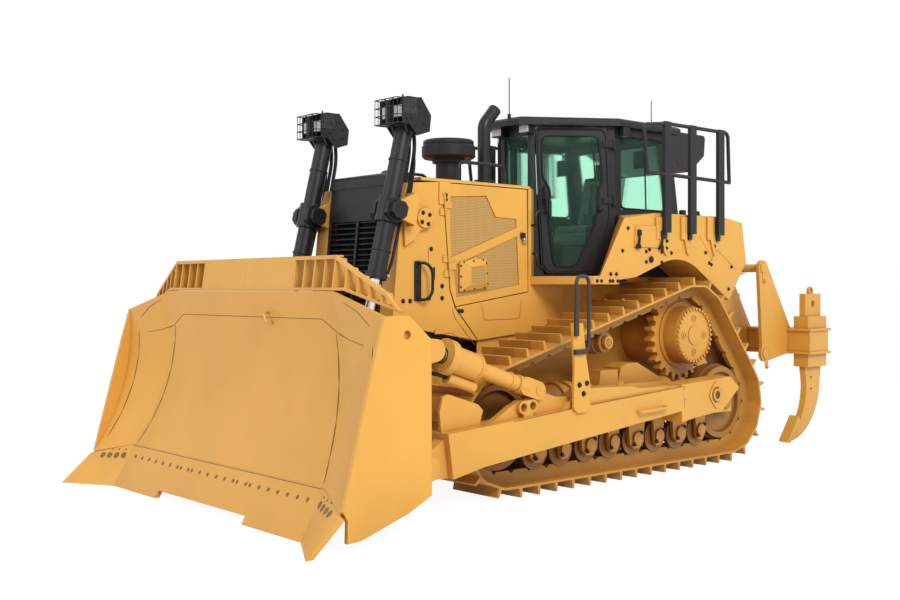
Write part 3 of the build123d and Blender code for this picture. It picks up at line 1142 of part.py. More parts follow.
def make_tilt_barrel():
    root = along(TILT_FOOT, TILT_EYE, 150)
    fork = []
    for low, high in ((-TILT_FORK_OUT, -TILT_LUG_HALF - 5), (TILT_LUG_HALF + 5, TILT_FORK_OUT)):
        fork.append(link_arm(TILT_FOOT, root, 76, TILT_Y + low, TILT_Y + high))
    collar = rod_solid(TILT_FOOT, TILT_EYE, TILT_Y, 125, 225, 78)
    tube = rod_solid(TILT_FOOT, TILT_EYE, TILT_Y, 108, TILT_BARREL_START + 10, TILT_TUBE_R)
    lean = atan2(TILT_EYE[1] - TILT_FOOT[1], TILT_EYE[0] - TILT_FOOT[0])
    drop = TILT_BARREL_R + 40
    side_tube = rod_solid(TILT_FOOT, TILT_EYE, TILT_Y, TILT_BARREL_START - 20, TILT_BARREL_END - 90, 46)
    side_tube = side_tube.moved(Location((drop * sin(lean), 0, -drop * cos(lean))))
    barrel = rod_solid(TILT_FOOT, TILT_EYE, TILT_Y, TILT_BARREL_START, TILT_BARREL_END, TILT_BARREL_R)
    flange = rod_solid(TILT_FOOT, TILT_EYE, TILT_Y, TILT_BARREL_END - 75, TILT_BARREL_END, TILT_BARREL_R + 30)
    body = tube.fuse(collar, barrel, flange, side_tube, *fork)
    bore = rod_solid(TILT_FOOT, TILT_EYE, TILT_Y, TILT_BARREL_START + 12, TILT_BARREL_END - 25, TILT_BORE_R)
    gland = rod_solid(TILT_FOOT, TILT_EYE, TILT_Y, TILT_BARREL_START + 50, TILT_BARREL_END + 5, TILT_ROD_R + PIN_FIT)
    pin_hole = disc(TILT_FOOT, 38 + PIN_FIT, TILT_Y - 80, TILT_Y + 80)
    return body.cut(bore, gland, pin_hole)


def make_tilt_rod():
    rod = rod_solid(TILT_FOOT, TILT_EYE, TILT_Y, tilt_length() - TILT_ROD_LENGTH, tilt_length(), TILT_ROD_R)
    piston = rod_solid(TILT_FOOT, TILT_EYE, TILT_Y, tilt_length() - TILT_ROD_LENGTH,
                       tilt_length() - TILT_ROD_LENGTH + 40, TILT_BORE_R - PIN_FIT)
    eye = disc(TILT_EYE, 66, TILT_Y - 52, TILT_Y + 52)
    return rod.fuse(eye, piston)


# ================================================================ ripper
def make_ripper_bracket():
    """Cheeks on the rear of the case that carry the links and cylinders."""
    pieces = [block(CASE_REAR_X - 20, CASE_REAR_X - FIT, -HULL_HALF, HULL_HALF, 640, CASE_TOP)]
    cheeks = ((LINK_FOOT, LINK_ARM_Y[0] - GAP - 40, LINK_ARM_Y[0] - GAP, 85),
              (LINK_FOOT, LINK_ARM_Y[1] + GAP, LINK_ARM_Y[1] + GAP + 40, 85),
              (PITCH_FOOT, PITCH_CYL_Y - 104, PITCH_CYL_Y - 74, 75),
              (PITCH_FOOT, PITCH_CYL_Y + 74, PITCH_CYL_Y + 104, 75),
              (RIPPER_FOOT, RIPPER_CYL_Y - 116, RIPPER_CYL_Y - 86, 80),
              (RIPPER_FOOT, RIPPER_CYL_Y + 86, RIPPER_CYL_Y + 116, 80))
    for centre, y_low, y_high, radius in cheeks:
        foot = CASE_REAR_X - 10
        low, high = (foot, centre[1] - radius - 25), (foot, min(centre[1] + radius + 25, CASE_TOP))
        ear = disc(centre, radius, y_low, y_high).fuse(
            plate([low, (centre[0], centre[1] - radius), (centre[0], centre[1] + radius), high], y_low, y_high))
        pieces += [ear, mirrored(ear)]
    for centre, y_low, y_high in ((LINK_FOOT, LINK_ARM_Y[0] - 48, LINK_ARM_Y[1] + 48),
                                  (PITCH_FOOT, PITCH_CYL_Y - 104, PITCH_CYL_Y + 104),
                                  (RIPPER_FOOT, RIPPER_CYL_Y - 116, RIPPER_CYL_Y + 116)):
        pin = disc(centre, RIPPER_PIN_R, y_low, y_high)
        pieces += [pin, mirrored(pin)]
    wing = block(CASE_REAR_X - 20, CASE_REAR_X - FIT, HULL_HALF - 1, RIPPER_CYL_Y + 116,
                 RIPPER_FOOT[1] - 140, RIPPER_FOOT[1] + 160)
    pieces += [wing, mirrored(wing)]
    return pieces[0].fuse(*pieces[1:])


def make_ripper_link():
    """Lower link: two arms joined by a torsion tube."""
    arm = link_arm(LINK_FOOT, LINK_HEAD, 88, *LINK_ARM_Y)
    middle = along(LINK_FOOT, LINK_HEAD, 560)
    tube = disc(middle, 80, -LINK_ARM_Y[0] - 1, LINK_ARM_Y[0] + 1)
    body = arm.fuse(mirrored(arm), tube)
    for centre in (LINK_FOOT, LINK_HEAD):
        body = body.cut(disc(centre, RIPPER_PIN_R + PIN_FIT, -900, 900))
    return body


def link_arm(start, end, radius, y_low, y_high):
    """Straight arm with a round head at each pin."""
    dx, dz = end[0] - start[0], end[1] - start[1]
    reach = hypot(dx, dz)
    nx, nz = -dz / reach * radius, dx / reach * radius
    web = plate([(start[0] + nx, start[1] + nz), (end[0] + nx, end[1] + nz),
                 (end[0] - nx, end[1] - nz), (start[0] - nx, start[1] - nz)], y_low, y_high)
    return web.fuse(disc(start, radius, y_low, y_high), disc(end, radius, y_low, y_high))


def make_ripper_frame():
    """Toolbar with its flange plates, pockets and the two pairs of ears."""
    beam = block(BEAM_REAR_X + 30, BEAM_FRONT_X, -BEAM_HALF + 20, BEAM_HALF - 20, BEAM_BOTTOM, BEAM_TOP)
    pieces = [beam]
    for z in (BEAM_BOTTOM, BEAM_TOP - 28):
        pieces.append(block(BEAM_REAR_X, BEAM_FRONT_X + 20, -BEAM_HALF, BEAM_HALF, z, z + 28))
    ear = ear_outline()
    for y_low, y_high in EAR_PLATES_Y:
        plate_out = slab(ear, y_low, y_high)
        pieces += [plate_out, mirrored(plate_out)]
    for centre, y_low, y_high in ((EAR_TOP, EAR_PLATES_Y[0][0], RIPPER_CYL_Y - 60),
                                  (EAR_TOP, RIPPER_CYL_Y + 60, EAR_PLATES_Y[1][1]),
                                  (LINK_HEAD, LINK_ARM_Y[0] - 30, EAR_PLATES_Y[0][1])):
        pin = disc(centre, RIPPER_PIN_R, y_low, y_high)
        pieces += [pin, mirrored(pin)]
    for y in SHANK_Y:
        pieces.append(block(SHANK_POCKET_X[0] - POCKET_WALL, SHANK_POCKET_X[1] + POCKET_WALL,
                            y - POCKET_HALF, y + POCKET_HALF, *POCKET_Z))
    frame = pieces[0].fuse(*pieces[1:])
    for y in SHANK_Y:
        frame = frame.cut(block(*SHANK_POCKET_X, y - SHANK_WIDTH / 2 - FIT, y + SHANK_WIDTH / 2 + FIT,
                                POCKET_Z[0] - 14, POCKET_Z[1] + 12))
    return frame


def ear_outline():
    top, low = EAR_TOP, LINK_HEAD
    return outline((top[0] + 88, top[1]), ((top[0], top[1] + 88), (top[0] - 85, top[1] + 30)),
                   (BEAM_FRONT_X - 60, BEAM_TOP - 5), (BEAM_FRONT_X - 5, BEAM_BOTTOM + 5),
                   (low[0], low[1] - 90), ((low[0] + 90, low[1]), (low[0] + 70, low[1] + 60)))


def make_shanks():
    shanks = []
    for y in SHANK_Y:
        half = SHANK_WIDTH / 2
        front, rear = SHANK_POCKET_X[1] - FIT, SHANK_POCKET_X[0] + FIT
        stem = outline((rear, SHANK_TOP_Z), (front, SHANK_TOP_Z), (front, 830), ((-3500, 480), (-3380, 260)), (-3140, 60),
                       (-3225, 55), ((-3560, 200), (-3790, 560)), (rear, 830))
        shank = slab(stem, y - half, y + half)
        eye = disc((SHANK_EYE[0], SHANK_EYE[1] - 7), 2 * SHANK_EYE_R, y - SHANK_EYE_HALF, y + SHANK_EYE_HALF)
        eye = eye.cut(disc(SHANK_EYE, SHANK_EYE_R, y - 20, y + 20))
        shank = shank.cut(disc((SHANK_EYE[0], 1590), 38, y - 60, y + 60))
        tip = plate([(-3330, 330), (-3106, 55), (-3150, 40), (-3400, 215)], y - half - 22, y + half + 22)
        shanks.append(shank.fuse(eye, tip))
    return shanks


def cylinder_barrel(foot, head, y, start, end, radius, bore, rod, eye_radius, eye_half):
    eye = disc(foot, eye_radius, y - eye_half, y + eye_half)
    body = eye.fuse(rod_solid(foot, head, y, start, end, radius))
    hollow = rod_solid(foot, head, y, start + 90, end - 45, bore)
    gland = rod_solid(foot, head, y, end - 60, end + 5, rod + PIN_FIT)
    return body.cut(hollow, gland, disc(foot, RIPPER_PIN_R + PIN_FIT, y - 90, y + 90))


def make_pitch_cylinders():
    """Upper links: barrel and rod as one length, held by their own oil."""
    reach = hypot(EAR_TOP[0] - PITCH_FOOT[0], EAR_TOP[1] - PITCH_FOOT[1])
    pieces = []
    for y in (PITCH_CYL_Y, -PITCH_CYL_Y):
        foot_eye = disc(PITCH_FOOT, 68, y - 58, y + 58)
        barrel = rod_solid(PITCH_FOOT, EAR_TOP, y, 30, 700, 68)
        gland = rod_solid(PITCH_FOOT, EAR_TOP, y, 660, 730, 78)
        rod = rod_solid(PITCH_FOOT, EAR_TOP, y, 700, reach - 20, 38)
        head_eye = disc(EAR_TOP, 70, y - 55, y + 55)
        body = foot_eye.fuse(barrel, gland, rod, head_eye)
        for centre in (PITCH_FOOT, EAR_TOP):
            body = body.cut(disc(centre, RIPPER_PIN_R + PIN_FIT, y - 90, y + 90))
        pieces.append(body)
    return pieces


def ripper_length():
    return hypot(EAR_TOP[0] - RIPPER_FOOT[0], EAR_TOP[1] - RIPPER_FOOT[1])


def make_ripper_barrel():
    return cylinder_barrel(RIPPER_FOOT, EAR_TOP, RIPPER_CYL_Y, 20, RIPPER_BARREL_END, 80, 66, 40, 78, 66)


def make_ripper_rod():
    reach = ripper_length()
    rod = rod_solid(RIPPER_FOOT, EAR_TOP, RIPPER_CYL_Y, reach - RIPPER_ROD_LENGTH, reach, 40)
    piston = rod_solid(RIPPER_FOOT, EAR_TOP, RIPPER_CYL_Y, reach - RIPPER_ROD_LENGTH,
                       reach - RIPPER_ROD_LENGTH + 40, 65)
    eye = disc(EAR_TOP, 72, RIPPER_CYL_Y - 55, RIPPER_CYL_Y + 55)
    return rod.fuse(piston, eye)


# ================================================================ export
def build_nodes():
    nodes = {}

    def side_nodes(name, shapes):
        nodes[name + "_left"] = shapes
        nodes[name + "_right"] = [mirrored(shape) for shape in shapes]

    side_nodes("track", [make_track()])
    side_nodes("sprocket", [make_sprocket()])
    wheels = [make_idler(FRONT_IDLER_X), make_idler(REAR_IDLER_X), make_carrier()]
    side_nodes("track_rollers", wheels + make_rollers())
    side_nodes("track_frame", [make_track_frame()])
    nodes["main_frame"] = [make_main_frame()]
    nodes["steering_case"] = [make_case()]
    nodes["engine_block"] = [make_engine()]
    nodes["drive_train"] = [make_engine_mount()]
    nodes["nose_guard"] = [make_nose()]
    nodes["nose_cap"] = [make_nose_cap()]
    nodes["grille"] = [make_grille()]
    nodes["radiator"] = [make_radiator()]
    nodes["hood"] = [make_hood()]
    side_nodes("engine_door", [make_engine_door()])
    nodes["precleaner"] = [make_precleaner()]
    nodes["exhaust_stack"] = [make_exhaust()]
    nodes["cab_frame"] = [make_cab_frame()]
    nodes["cab_floor"] = [make_cab_floor()]
    nodes["cab_roof"] = [make_cab_roof()]
    nodes["air_conditioner"] = [make_rear_box()]
    nodes["antennas"] = make_antennas()
    nodes["cab_windows"] = make_cab_glass()
    side_nodes("cab_door", [make_cab_door()])
    side_nodes("cab_door_glass", [make_door_glass()])
    nodes["operator_seat"] = [make_seat()]
    nodes["cab_controls"] = make_console()
    side_nodes("fender", [make_fender()])
    nodes["fuel_tank"] = [make_tank()]
    side_nodes("handrail", [make_handrails()])
    nodes["push_arms"] = pair(make_push_arm())
    nodes["step_posts"] = pair(make_step_post())
    nodes["moldboard"] = [make_moldboard()]
    nodes["end_bits"] = pair(make_end_bit())
    nodes["spill_guard"] = [make_spill_guard()]
    nodes["cutting_edges"] = make_cutting_edges()
    nodes["lift_barrels"] = pair(make_lift_barrel())
    nodes["lift_rods"] = pair(make_lift_rod())
    nodes["lamp_guards"] = pair(make_lamp_guard())
    nodes["headlamps"] = [lamp for side in make_lamps() for lamp in pair(side)]
    nodes["tilt_barrels"] = pair(make_tilt_barrel())
    nodes["tilt_rods"] = pair(make_tilt_rod())
    nodes["ripper_bracket"] = [make_ripper_bracket()]
    nodes["ripper_link"] = [make_ripper_link()]
    nodes["ripper_toolbar"] = [make_ripper_frame()]
    nodes["ripper_shanks"] = make_shanks()
    nodes["ripper_pitch_cylinders"] = make_pitch_cylinders()
    nodes["ripper_barrels"] = pair(make_ripper_barrel())
    nodes["ripper_rods"] = pair(make_ripper_rod())
    return nodes


def main():
    os.makedirs("parts", exist_ok=True)
    for name, shapes in build_nodes().items():
        solids = solids_of(shapes)
        whole = solids[0] if len(solids) == 1 else Compound(children=solids)
        export_step(whole, os.path.join("parts", name + ".step"))
        print(name, len(solids), "solids")


if __name__ == "__main__":
    main()
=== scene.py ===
import bpy, bmesh
from math import cos, hypot, pi, radians, sin
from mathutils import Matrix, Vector


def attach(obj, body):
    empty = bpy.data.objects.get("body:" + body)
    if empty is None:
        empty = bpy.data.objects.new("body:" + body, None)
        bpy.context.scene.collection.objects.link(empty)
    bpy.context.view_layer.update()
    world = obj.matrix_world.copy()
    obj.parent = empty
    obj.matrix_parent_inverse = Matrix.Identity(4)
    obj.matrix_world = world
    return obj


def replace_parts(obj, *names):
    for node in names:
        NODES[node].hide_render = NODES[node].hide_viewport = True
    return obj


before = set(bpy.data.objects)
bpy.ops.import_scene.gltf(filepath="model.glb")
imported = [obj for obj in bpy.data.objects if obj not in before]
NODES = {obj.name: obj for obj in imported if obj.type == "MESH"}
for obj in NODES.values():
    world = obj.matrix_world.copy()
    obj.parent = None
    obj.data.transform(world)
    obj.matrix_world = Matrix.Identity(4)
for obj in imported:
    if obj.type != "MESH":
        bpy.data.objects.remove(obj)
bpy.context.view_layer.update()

# Lengths are in metres. Pieces are drawn on the machine's left and mirrored to its right.
OUT, INWARD, DOWN = (0, 1, 0), (0, -1, 0), (0, 0, -1)
FORWARD, BACK = (1, 0, 0), (-1, 0, 0)
WHITE = (1, 1, 1)
YELLOW = (0.80, 0.405, 0.062)
BLACK_GRIP = (0.028, 0.029, 0.031)
SIDE_Y = 0.610                                      # outer face of the nose and the engine doors
ARM_Y = 1.580                                       # outer face of the push arms
POST_Y = 1.6056                                     # what stands past it on a step post is black
SINK = 0.001                                        # how deep a part is set into the surface under it
SEAM_WIDTH, SEAM_PROUD, SEAM_DEPTH = 0.005, 0.0006, 0.0015
TRACK_Y, RAIL_HALF = 1.0415, 0.125                  # middle of a track, half the width of its links
FLOOR_HALF, FLOOR_TONE = 120.0, (0.93, 0.93, 0.93)
FLOOR_GLOW, FLOOR_GLOW_SHARE = 1.09, 0.86           # white that the camera sees over the lit floor

LIFT_Y, LIFT_TRUNNION, LIFT_EYE = 0.591, (2.111, 2.423), (2.492, 0.852)
LIFT_AXIS, LIFT_AHEAD = Vector((0.2357, 0, -0.9718)), Vector((0.9718, 0, 0.2357))
TILT_FOOT = Vector((1.264, 1.465, 0.916))
TILT_AXIS = Vector((2.426 - 1.264, 0, 1.295 - 0.916)).normalized()
TILT_END = TILT_FOOT + TILT_AXIS * 1.059            # front face of the tilt cylinder's barrel


# ---------------------------------------------------------------- camera and stage
def make_camera():
    data = bpy.data.cameras.new("camera")
    data.lens, data.sensor_width = 44.61, 36.0
    data.shift_y = -0.0124
    data.clip_end = 400.0
    camera = bpy.data.objects.new("camera", data)
    camera.location = (7.939, 7.987, 1.762)
    camera.rotation_euler = Vector((-0.6611, -0.7503, 0.0)).to_track_quat("-Z", "Y").to_euler()
    bpy.context.scene.collection.objects.link(camera)
    bpy.context.scene.camera = camera


def see_rays(tree):
    """1 where the camera, a mirror or a pane looks straight at the surface, else 0."""
    path = tree.nodes.new("ShaderNodeLightPath")
    value = path.outputs["Is Camera Ray"]
    for name in ("Is Glossy Ray", "Is Transmission Ray"):
        larger = tree.nodes.new("ShaderNodeMath")
        larger.operation = "MAXIMUM"
        tree.links.new(value, larger.inputs[0])
        tree.links.new(path.outputs[name], larger.inputs[1])
        value = larger.outputs[0]
    return value


def plain_shader(tree, kind, colour, strength=None):
    made = tree.nodes.new(kind)
    made.inputs["Color"].default_value = (*colour, 1)
    if strength is not None:
        made.inputs["Strength"].default_value = strength
    return made


def blend_out(tree, factor, first, second, output):
    """Mixes two shaders by the factor into a new output node."""
    mix = tree.nodes.new("ShaderNodeMixShader")
    for source, socket in zip((factor, first.outputs[0], second.outputs[0]), mix.inputs):
        tree.links.new(source, socket)
    tree.links.new(mix.outputs[0], tree.nodes.new(output).inputs[0])


def make_world(strength):
    world = bpy.data.worlds.new("studio")
    bpy.context.scene.world = world
    world.use_nodes = True
    tree = world.node_tree
    tree.nodes.clear()
    lit = plain_shader(tree, "ShaderNodeBackground", WHITE, strength)
    seen = plain_shader(tree, "ShaderNodeBackground", WHITE, 1.0)
    blend_out(tree, see_rays(tree), lit, seen, "ShaderNodeOutputWorld")


def make_floor():
    mesh = bpy.data.meshes.new("floor")
    corners = [(x * FLOOR_HALF, y * FLOOR_HALF, 0) for x, y in ((-1, -1), (1, -1), (1, 1), (-1, 1))]
    mesh.from_pydata(corners, [], [(0, 1, 2, 3)])
    floor = bpy.data.objects.new("floor", mesh)
    bpy.context.scene.collection.objects.link(floor)
    material = bpy.data.materials.new("floor")
    material.use_nodes = True
    tree = material.node_tree
    tree.nodes.clear()
    matt = plain_shader(tree, "ShaderNodeBsdfDiffuse", FLOOR_TONE)
    glow = plain_shader(tree, "ShaderNodeEmission", WHITE, FLOOR_GLOW)
    share = tree.nodes.new("ShaderNodeMath")
    share.operation = "MULTIPLY"
    tree.links.new(see_rays(tree), share.inputs[0])
    share.inputs[1].default_value = FLOOR_GLOW_SHARE
    blend_out(tree, share.outputs[0], matt, glow, "ShaderNodeOutputMaterial")
    mesh.materials.append(material)


def area_light(name, place, target, size, power):
    data = bpy.data.lights.new(name, "AREA")
    data.shape, data.size, data.energy = "DISK", size, power
    lamp = bpy.data.objects.new(name, data)
    lamp.location = place
    lamp.rotation_euler = (Vector(target) - Vector(place)).to_track_quat("-Z", "Y").to_euler()
    bpy.context.scene.collection.objects.link(lamp)


# ---------------------------------------------------------------- materials
class Maker:
    """Small helper that builds one node material."""

    def __init__(self, name):
        self.material = bpy.data.materials.new(name)
        self.material.use_nodes = True
        self.tree = self.material.node_tree
        self.shader = self.tree.nodes["Principled BSDF"]
        coords = self.tree.nodes.new("ShaderNodeTexCoord")
        self.place = coords.outputs["Object"]

    def node(self, kind, **values):
        made = self.tree.nodes.new(kind)
        for key, value in values.items():
            setattr(made, key, value)
        return made

    def link(self, a, b):
        self.tree.links.new(a, b)

    def noise(self, scale, detail=2.0, rough=0.5, stretch=(1, 1, 1)):
        mapping = self.node("ShaderNodeMapping")
        mapping.inputs["Scale"].default_value = stretch
        self.link(self.place, mapping.inputs["Vector"])
        made = self.node("ShaderNodeTexNoise")
        made.inputs["Scale"].default_value = scale
        made.inputs["Detail"].default_value = detail
        made.inputs["Roughness"].default_value = rough
        self.link(mapping.outputs[0], made.inputs["Vector"])
        return made.outputs["Fac"]

    def ramp(self, source, low, high, low_value=0.0, high_value=1.0):
        made = self.node("ShaderNodeMapRange")
        limits = {"From Min": low, "From Max": high, "To Min": low_value, "To Max": high_value}
        for name, value in limits.items():
            made.inputs[name].default_value = value
        self.link(source, made.inputs["Value"])
        return made.outputs["Result"]

    def feed(self, socket, value):
        """Sets a socket to a number or a colour, or links another node's output to it."""
        if isinstance(value, tuple):
            socket.default_value = (*value, 1)
        elif isinstance(value, (int, float)):
            socket.default_value = value
        else:
            self.link(value, socket)

    def mix(self, factor, a, b):
        made = self.node("ShaderNodeMix", data_type="RGBA")
        self.link(factor, made.inputs["Factor"])
        self.feed(made.inputs[6], a)
        self.feed(made.inputs[7], b)
        return made.outputs[2]

    def math(self, kind, a, b=None):
        made = self.node("ShaderNodeMath", operation=kind)
        self.feed(made.inputs[0], a)
        if b is not None:
            self.feed(made.inputs[1], b)
        return made.outputs[0]

    def axes(self):
        split = self.node("ShaderNodeSeparateXYZ")
        self.link(self.place, split.inputs[0])
        return split.outputs

    def wave(self, direction, scale, distortion=0.0):
        made = self.node("ShaderNodeTexWave", wave_type="BANDS", bands_direction=direction)
        made.inputs["Scale"].default_value = scale
        made.inputs["Distortion"].default_value = distortion
        self.link(self.place, made.inputs["Vector"])
        return made.outputs["Fac"]

    def rounded(self, radius):
        """Surface direction as it would be with this radius on the edges."""
        bevel = self.node("ShaderNodeBevel", samples=4)
        bevel.inputs["Radius"].default_value = radius
        return bevel.outputs[0]

    def edge(self, radius):
        """1 on convex and concave edges of the mesh, 0 on its flats."""
        geometry = self.node("ShaderNodeNewGeometry")
        dot = self.node("ShaderNodeVectorMath", operation="DOT_PRODUCT")
        self.link(self.rounded(radius), dot.inputs[0])
        self.link(geometry.outputs["Normal"], dot.inputs[1])
        return self.ramp(dot.outputs["Value"], 0.995, 0.90)

    def occlusion_shade(self, reach, low=0.25, high=0.95):
        """Mask for painted shade: 1 deep in corners and under other parts, 0 in the open."""
        made = self.node("ShaderNodeAmbientOcclusion", samples=6)
        made.inputs["Distance"].default_value = reach
        return self.ramp(made.outputs["AO"], low, high, 1.0, 0.0)

    def bump(self, height, strength, distance, round_edges=0.0):
        made = self.node("ShaderNodeBump")
        made.inputs["Strength"].default_value = strength
        made.inputs["Distance"].default_value = distance
        self.link(height, made.inputs["Height"])
        if round_edges:
            self.link(self.rounded(round_edges), made.inputs["Normal"])
        self.link(made.outputs[0], self.shader.inputs["Normal"])

    def set(self, **values):
        names = {"rough": "Roughness", "metal": "Metallic", "coat": "Coat Weight",
                 "coat_rough": "Coat Roughness", "sheen": "Sheen Weight", "glass": "Transmission Weight",
                 "ior": "IOR", "alpha": "Alpha", "spec": "Specular IOR Level"}
        for key, value in values.items():
            self.feed(self.shader.inputs[names[key]], value)

    def colour(self, value):
        self.feed(self.shader.inputs["Base Color"], value)


def scaled(colour, *shares):
    """The colour times one share, or times one share a channel."""
    shares = shares * 3 if len(shares) == 1 else shares
    return tuple(min(1.0, c * share) for c, share in zip(colour, shares))


def paint(name, base, worn, rough=0.42, cast=False, shade=0.38):
    """Satin machine paint: slow colour drift, faint dust, orange peel, softened edges, and painted shade that
    darkens corners, creases and the parts under other parts.
    """
    m = Maker(name)
    tone = m.mix(m.ramp(m.noise(1.3, 3.0), 0.3, 0.7), scaled(base, 0.93), scaled(base, 1.05))
    speck = m.ramp(m.noise(60, 4.0, 0.7), 0.62, 0.78, 0.0, 0.16)
    tone = m.mix(speck, tone, scaled(base, 0.72))
    wear = m.math("MULTIPLY", m.edge(0.006), m.ramp(m.noise(22, 3.0, 0.65), 0.35, 0.7, 0.05, 0.55))
    tone = m.mix(wear, tone, worn)
    # Painted shade: the colour turns darker and browner where other parts within 0.5 m hide the sky.
    tone = m.mix(m.math("MULTIPLY", m.occlusion_shade(0.5), shade), tone, scaled(base, 0.42, 0.30, 0.25))
    # Painted shade: tight creases and corners within 3 cm darken further.
    crevice_shade = m.math("MULTIPLY", m.occlusion_shade(0.03, 0.3, 0.8), 0.55)
    m.colour(m.mix(crevice_shade, tone, scaled(base, 0.45, 0.34, 0.3)))
    m.set(rough=m.ramp(m.noise(9, 3.0), 0.2, 0.8, rough - 0.07, rough + 0.09), coat=0.12, coat_rough=0.25)
    grain, strength, depth = (240, 0.35, 0.0015) if cast else (1100, 0.10, 0.0006)
    m.bump(m.noise(grain, 2.0), strength, depth, 0.004)
    return m.material


def black(name, base, rough, grain, strength):
    m = Maker(name)
    tone = m.mix(m.ramp(m.noise(3.0, 3.0), 0.3, 0.7), scaled(base, 0.8), scaled(base, 1.25))
    dust = m.math("MULTIPLY", m.edge(0.005), 0.35)
    m.colour(m.mix(dust, tone, tuple(min(1.0, c * 3.2 + 0.02) for c in base)))
    m.set(rough=m.ramp(m.noise(14, 3.0), 0.2, 0.8, rough - 0.06, rough + 0.08), spec=0.32)
    m.bump(m.noise(grain, 2.0), strength, 0.0008, 0.003)
    return m.material


def metal(name, base, rough, brushed=(1, 1, 1)):
    m = Maker(name)
    m.colour(m.mix(m.noise(5, 2.0), scaled(base, 0.9), base))
    m.set(metal=1.0, rough=m.ramp(m.noise(90, 3.0, 0.6, brushed), 0.2, 0.8, rough * 0.7, rough * 1.4))
    m.bump(m.noise(500, 2.0, 0.5, brushed), 0.05, 0.0003)
    return m.material


def glass(name, tint):
    m = Maker(name)
    m.colour(m.mix(m.noise(2.0), scaled(tint, 0.97), tint))
    m.set(rough=0.03, glass=0.97, ior=1.05, alpha=0.80)
    return m.material


def screen_sheet(name, base, pitch):
    """Painted sheet with rows of small round holes, coloured dark as painted shade seen through them."""
    m = Maker(name)
    axes = m.axes()
    offsets = []
    for axis in ("X", "Z"):
        cell = m.math("FRACT", m.math("MULTIPLY", axes[axis], 1.0 / pitch))
        offsets.append(m.math("POWER", m.math("SUBTRACT", cell, 0.5), 2))
    hole = m.math("LESS_THAN", m.math("ADD", offsets[0], offsets[1]), 0.115)
    shade = m.ramp(m.noise(2.2, 2.0), 0.3, 0.7, 0.85, 1.0)
    # Painted shade: the holes are darkened, a little unevenly.
    m.colour(m.mix(m.math("MULTIPLY", hole, shade), base, scaled(base, 0.42)))
    m.set(rough=0.55)
    m.bump(hole, -0.4, 0.001)
    return m.material


def lens_glass(name, base):
    """Lamp face with fine ribs."""
    m = Maker(name)
    ribs = m.wave("Y", 60)
    m.colour(m.mix(ribs, scaled(base, 0.82), base))
    m.set(rough=0.12, coat=0.6, coat_rough=0.05)
    m.bump(ribs, 0.25, 0.0008)
    return m.material


def fabric(name, base):
    m = Maker(name)
    weave = m.wave("DIAGONAL", 220, 1.2)
    m.colour(m.mix(weave, scaled(base, 0.6), scaled(base, 1.5)))
    m.set(rough=0.85, sheen=0.4)
    m.bump(weave, 0.4, 0.001)
    return m.material


def track_material():
    """Shoes keep the body colour outside and go to the darker chain colour inside the loop, with painted
    shade under and between parts and painted highlights on their edges.
    """
    m = Maker("paint_track")
    outer, inner = (0.72, 0.350, 0.052), (0.40, 0.19, 0.035)
    side = m.math("ABSOLUTE", m.axes()["Y"])
    near_rail = m.math("LESS_THAN", m.math("ABSOLUTE", m.math("SUBTRACT", side, TRACK_Y)), RAIL_HALF)
    tone = m.mix(m.math("MULTIPLY", near_rail, 0.45), outer, inner)
    drift = m.ramp(m.noise(7, 4.0, 0.65), 0.35, 0.75, 0.0, 0.35)
    tone = m.mix(drift, tone, scaled(outer, 0.72))
    # Painted shade: darker brown where other parts within 0.35 m hide the sky.
    tone = m.mix(m.math("MULTIPLY", m.occlusion_shade(0.35), 0.5), tone, (0.22, 0.095, 0.016))
    # Painted highlight: the edges turn lighter.
    m.colour(m.mix(m.math("MULTIPLY", m.edge(0.006), 0.4), tone, (0.90, 0.60, 0.28)))
    m.set(rough=m.ramp(m.noise(14, 3.0), 0.2, 0.8, 0.42, 0.6))
    m.bump(m.noise(180, 3.0), 0.3, 0.001, 0.004)
    return m.material


def post_material():
    """Yellow post; its handle, grip and foot bar, which stand proud of it, are black."""
    m = Maker("paint_step_post")
    proud = m.math("GREATER_THAN", m.math("ABSOLUTE", m.axes()["Y"]), POST_Y)
    m.colour(m.mix(proud, YELLOW, BLACK_GRIP))
    m.set(rough=m.ramp(m.noise(14, 3.0), 0.2, 0.8, 0.38, 0.5))
    m.bump(m.noise(420, 2.0), 0.2, 0.0008, 0.003)
    return m.material


MATERIALS = {
    "yellow": paint("paint_yellow", YELLOW, (0.90, 0.52, 0.15)),
    "cast_yellow": paint("paint_cast_yellow", (0.79, 0.395, 0.058), (0.88, 0.50, 0.14), 0.46, True, 0.9),
    "chain": paint("paint_chain", (0.46, 0.22, 0.04), (0.66, 0.36, 0.10), 0.5, True, 0.9),
    "black": black("paint_black", (0.013, 0.0135, 0.0145), 0.36, 700, 0.12),
    "plastic": black("plastic_black", (0.012, 0.012, 0.013), 0.55, 420, 0.35),
    "rubber": black("rubber_black", (0.009, 0.009, 0.0095), 0.62, 260, 0.3),
    "iron": black("iron_dark", (0.10, 0.095, 0.09), 0.6, 160, 0.4),
    "chrome": metal("chrome_rod", (0.80, 0.79, 0.78), 0.12, (1, 1, 6)),
    "steel": metal("zinc_steel", (0.56, 0.55, 0.53), 0.32),
    "glass": glass("glass_green", (0.62, 1.0, 0.81)),
    "fabric": fabric("seat_cloth", (0.045, 0.045, 0.05)),
    "lamp": glass("lamp_lens", (0.93, 0.94, 0.95)),
    "seam": paint("seam_shadow", (0.24, 0.105, 0.02), (0.26, 0.12, 0.03), 0.6),
    "worn": paint("paint_bolt", (0.66, 0.35, 0.085), (0.80, 0.50, 0.20), 0.5),
    "screen": screen_sheet("screen_sheet", (0.62, 0.36, 0.105), 0.014),
    "lens": lens_glass("lens_white", (0.72, 0.74, 0.76)),
    "post": post_material(),
    "track": track_material(),
}
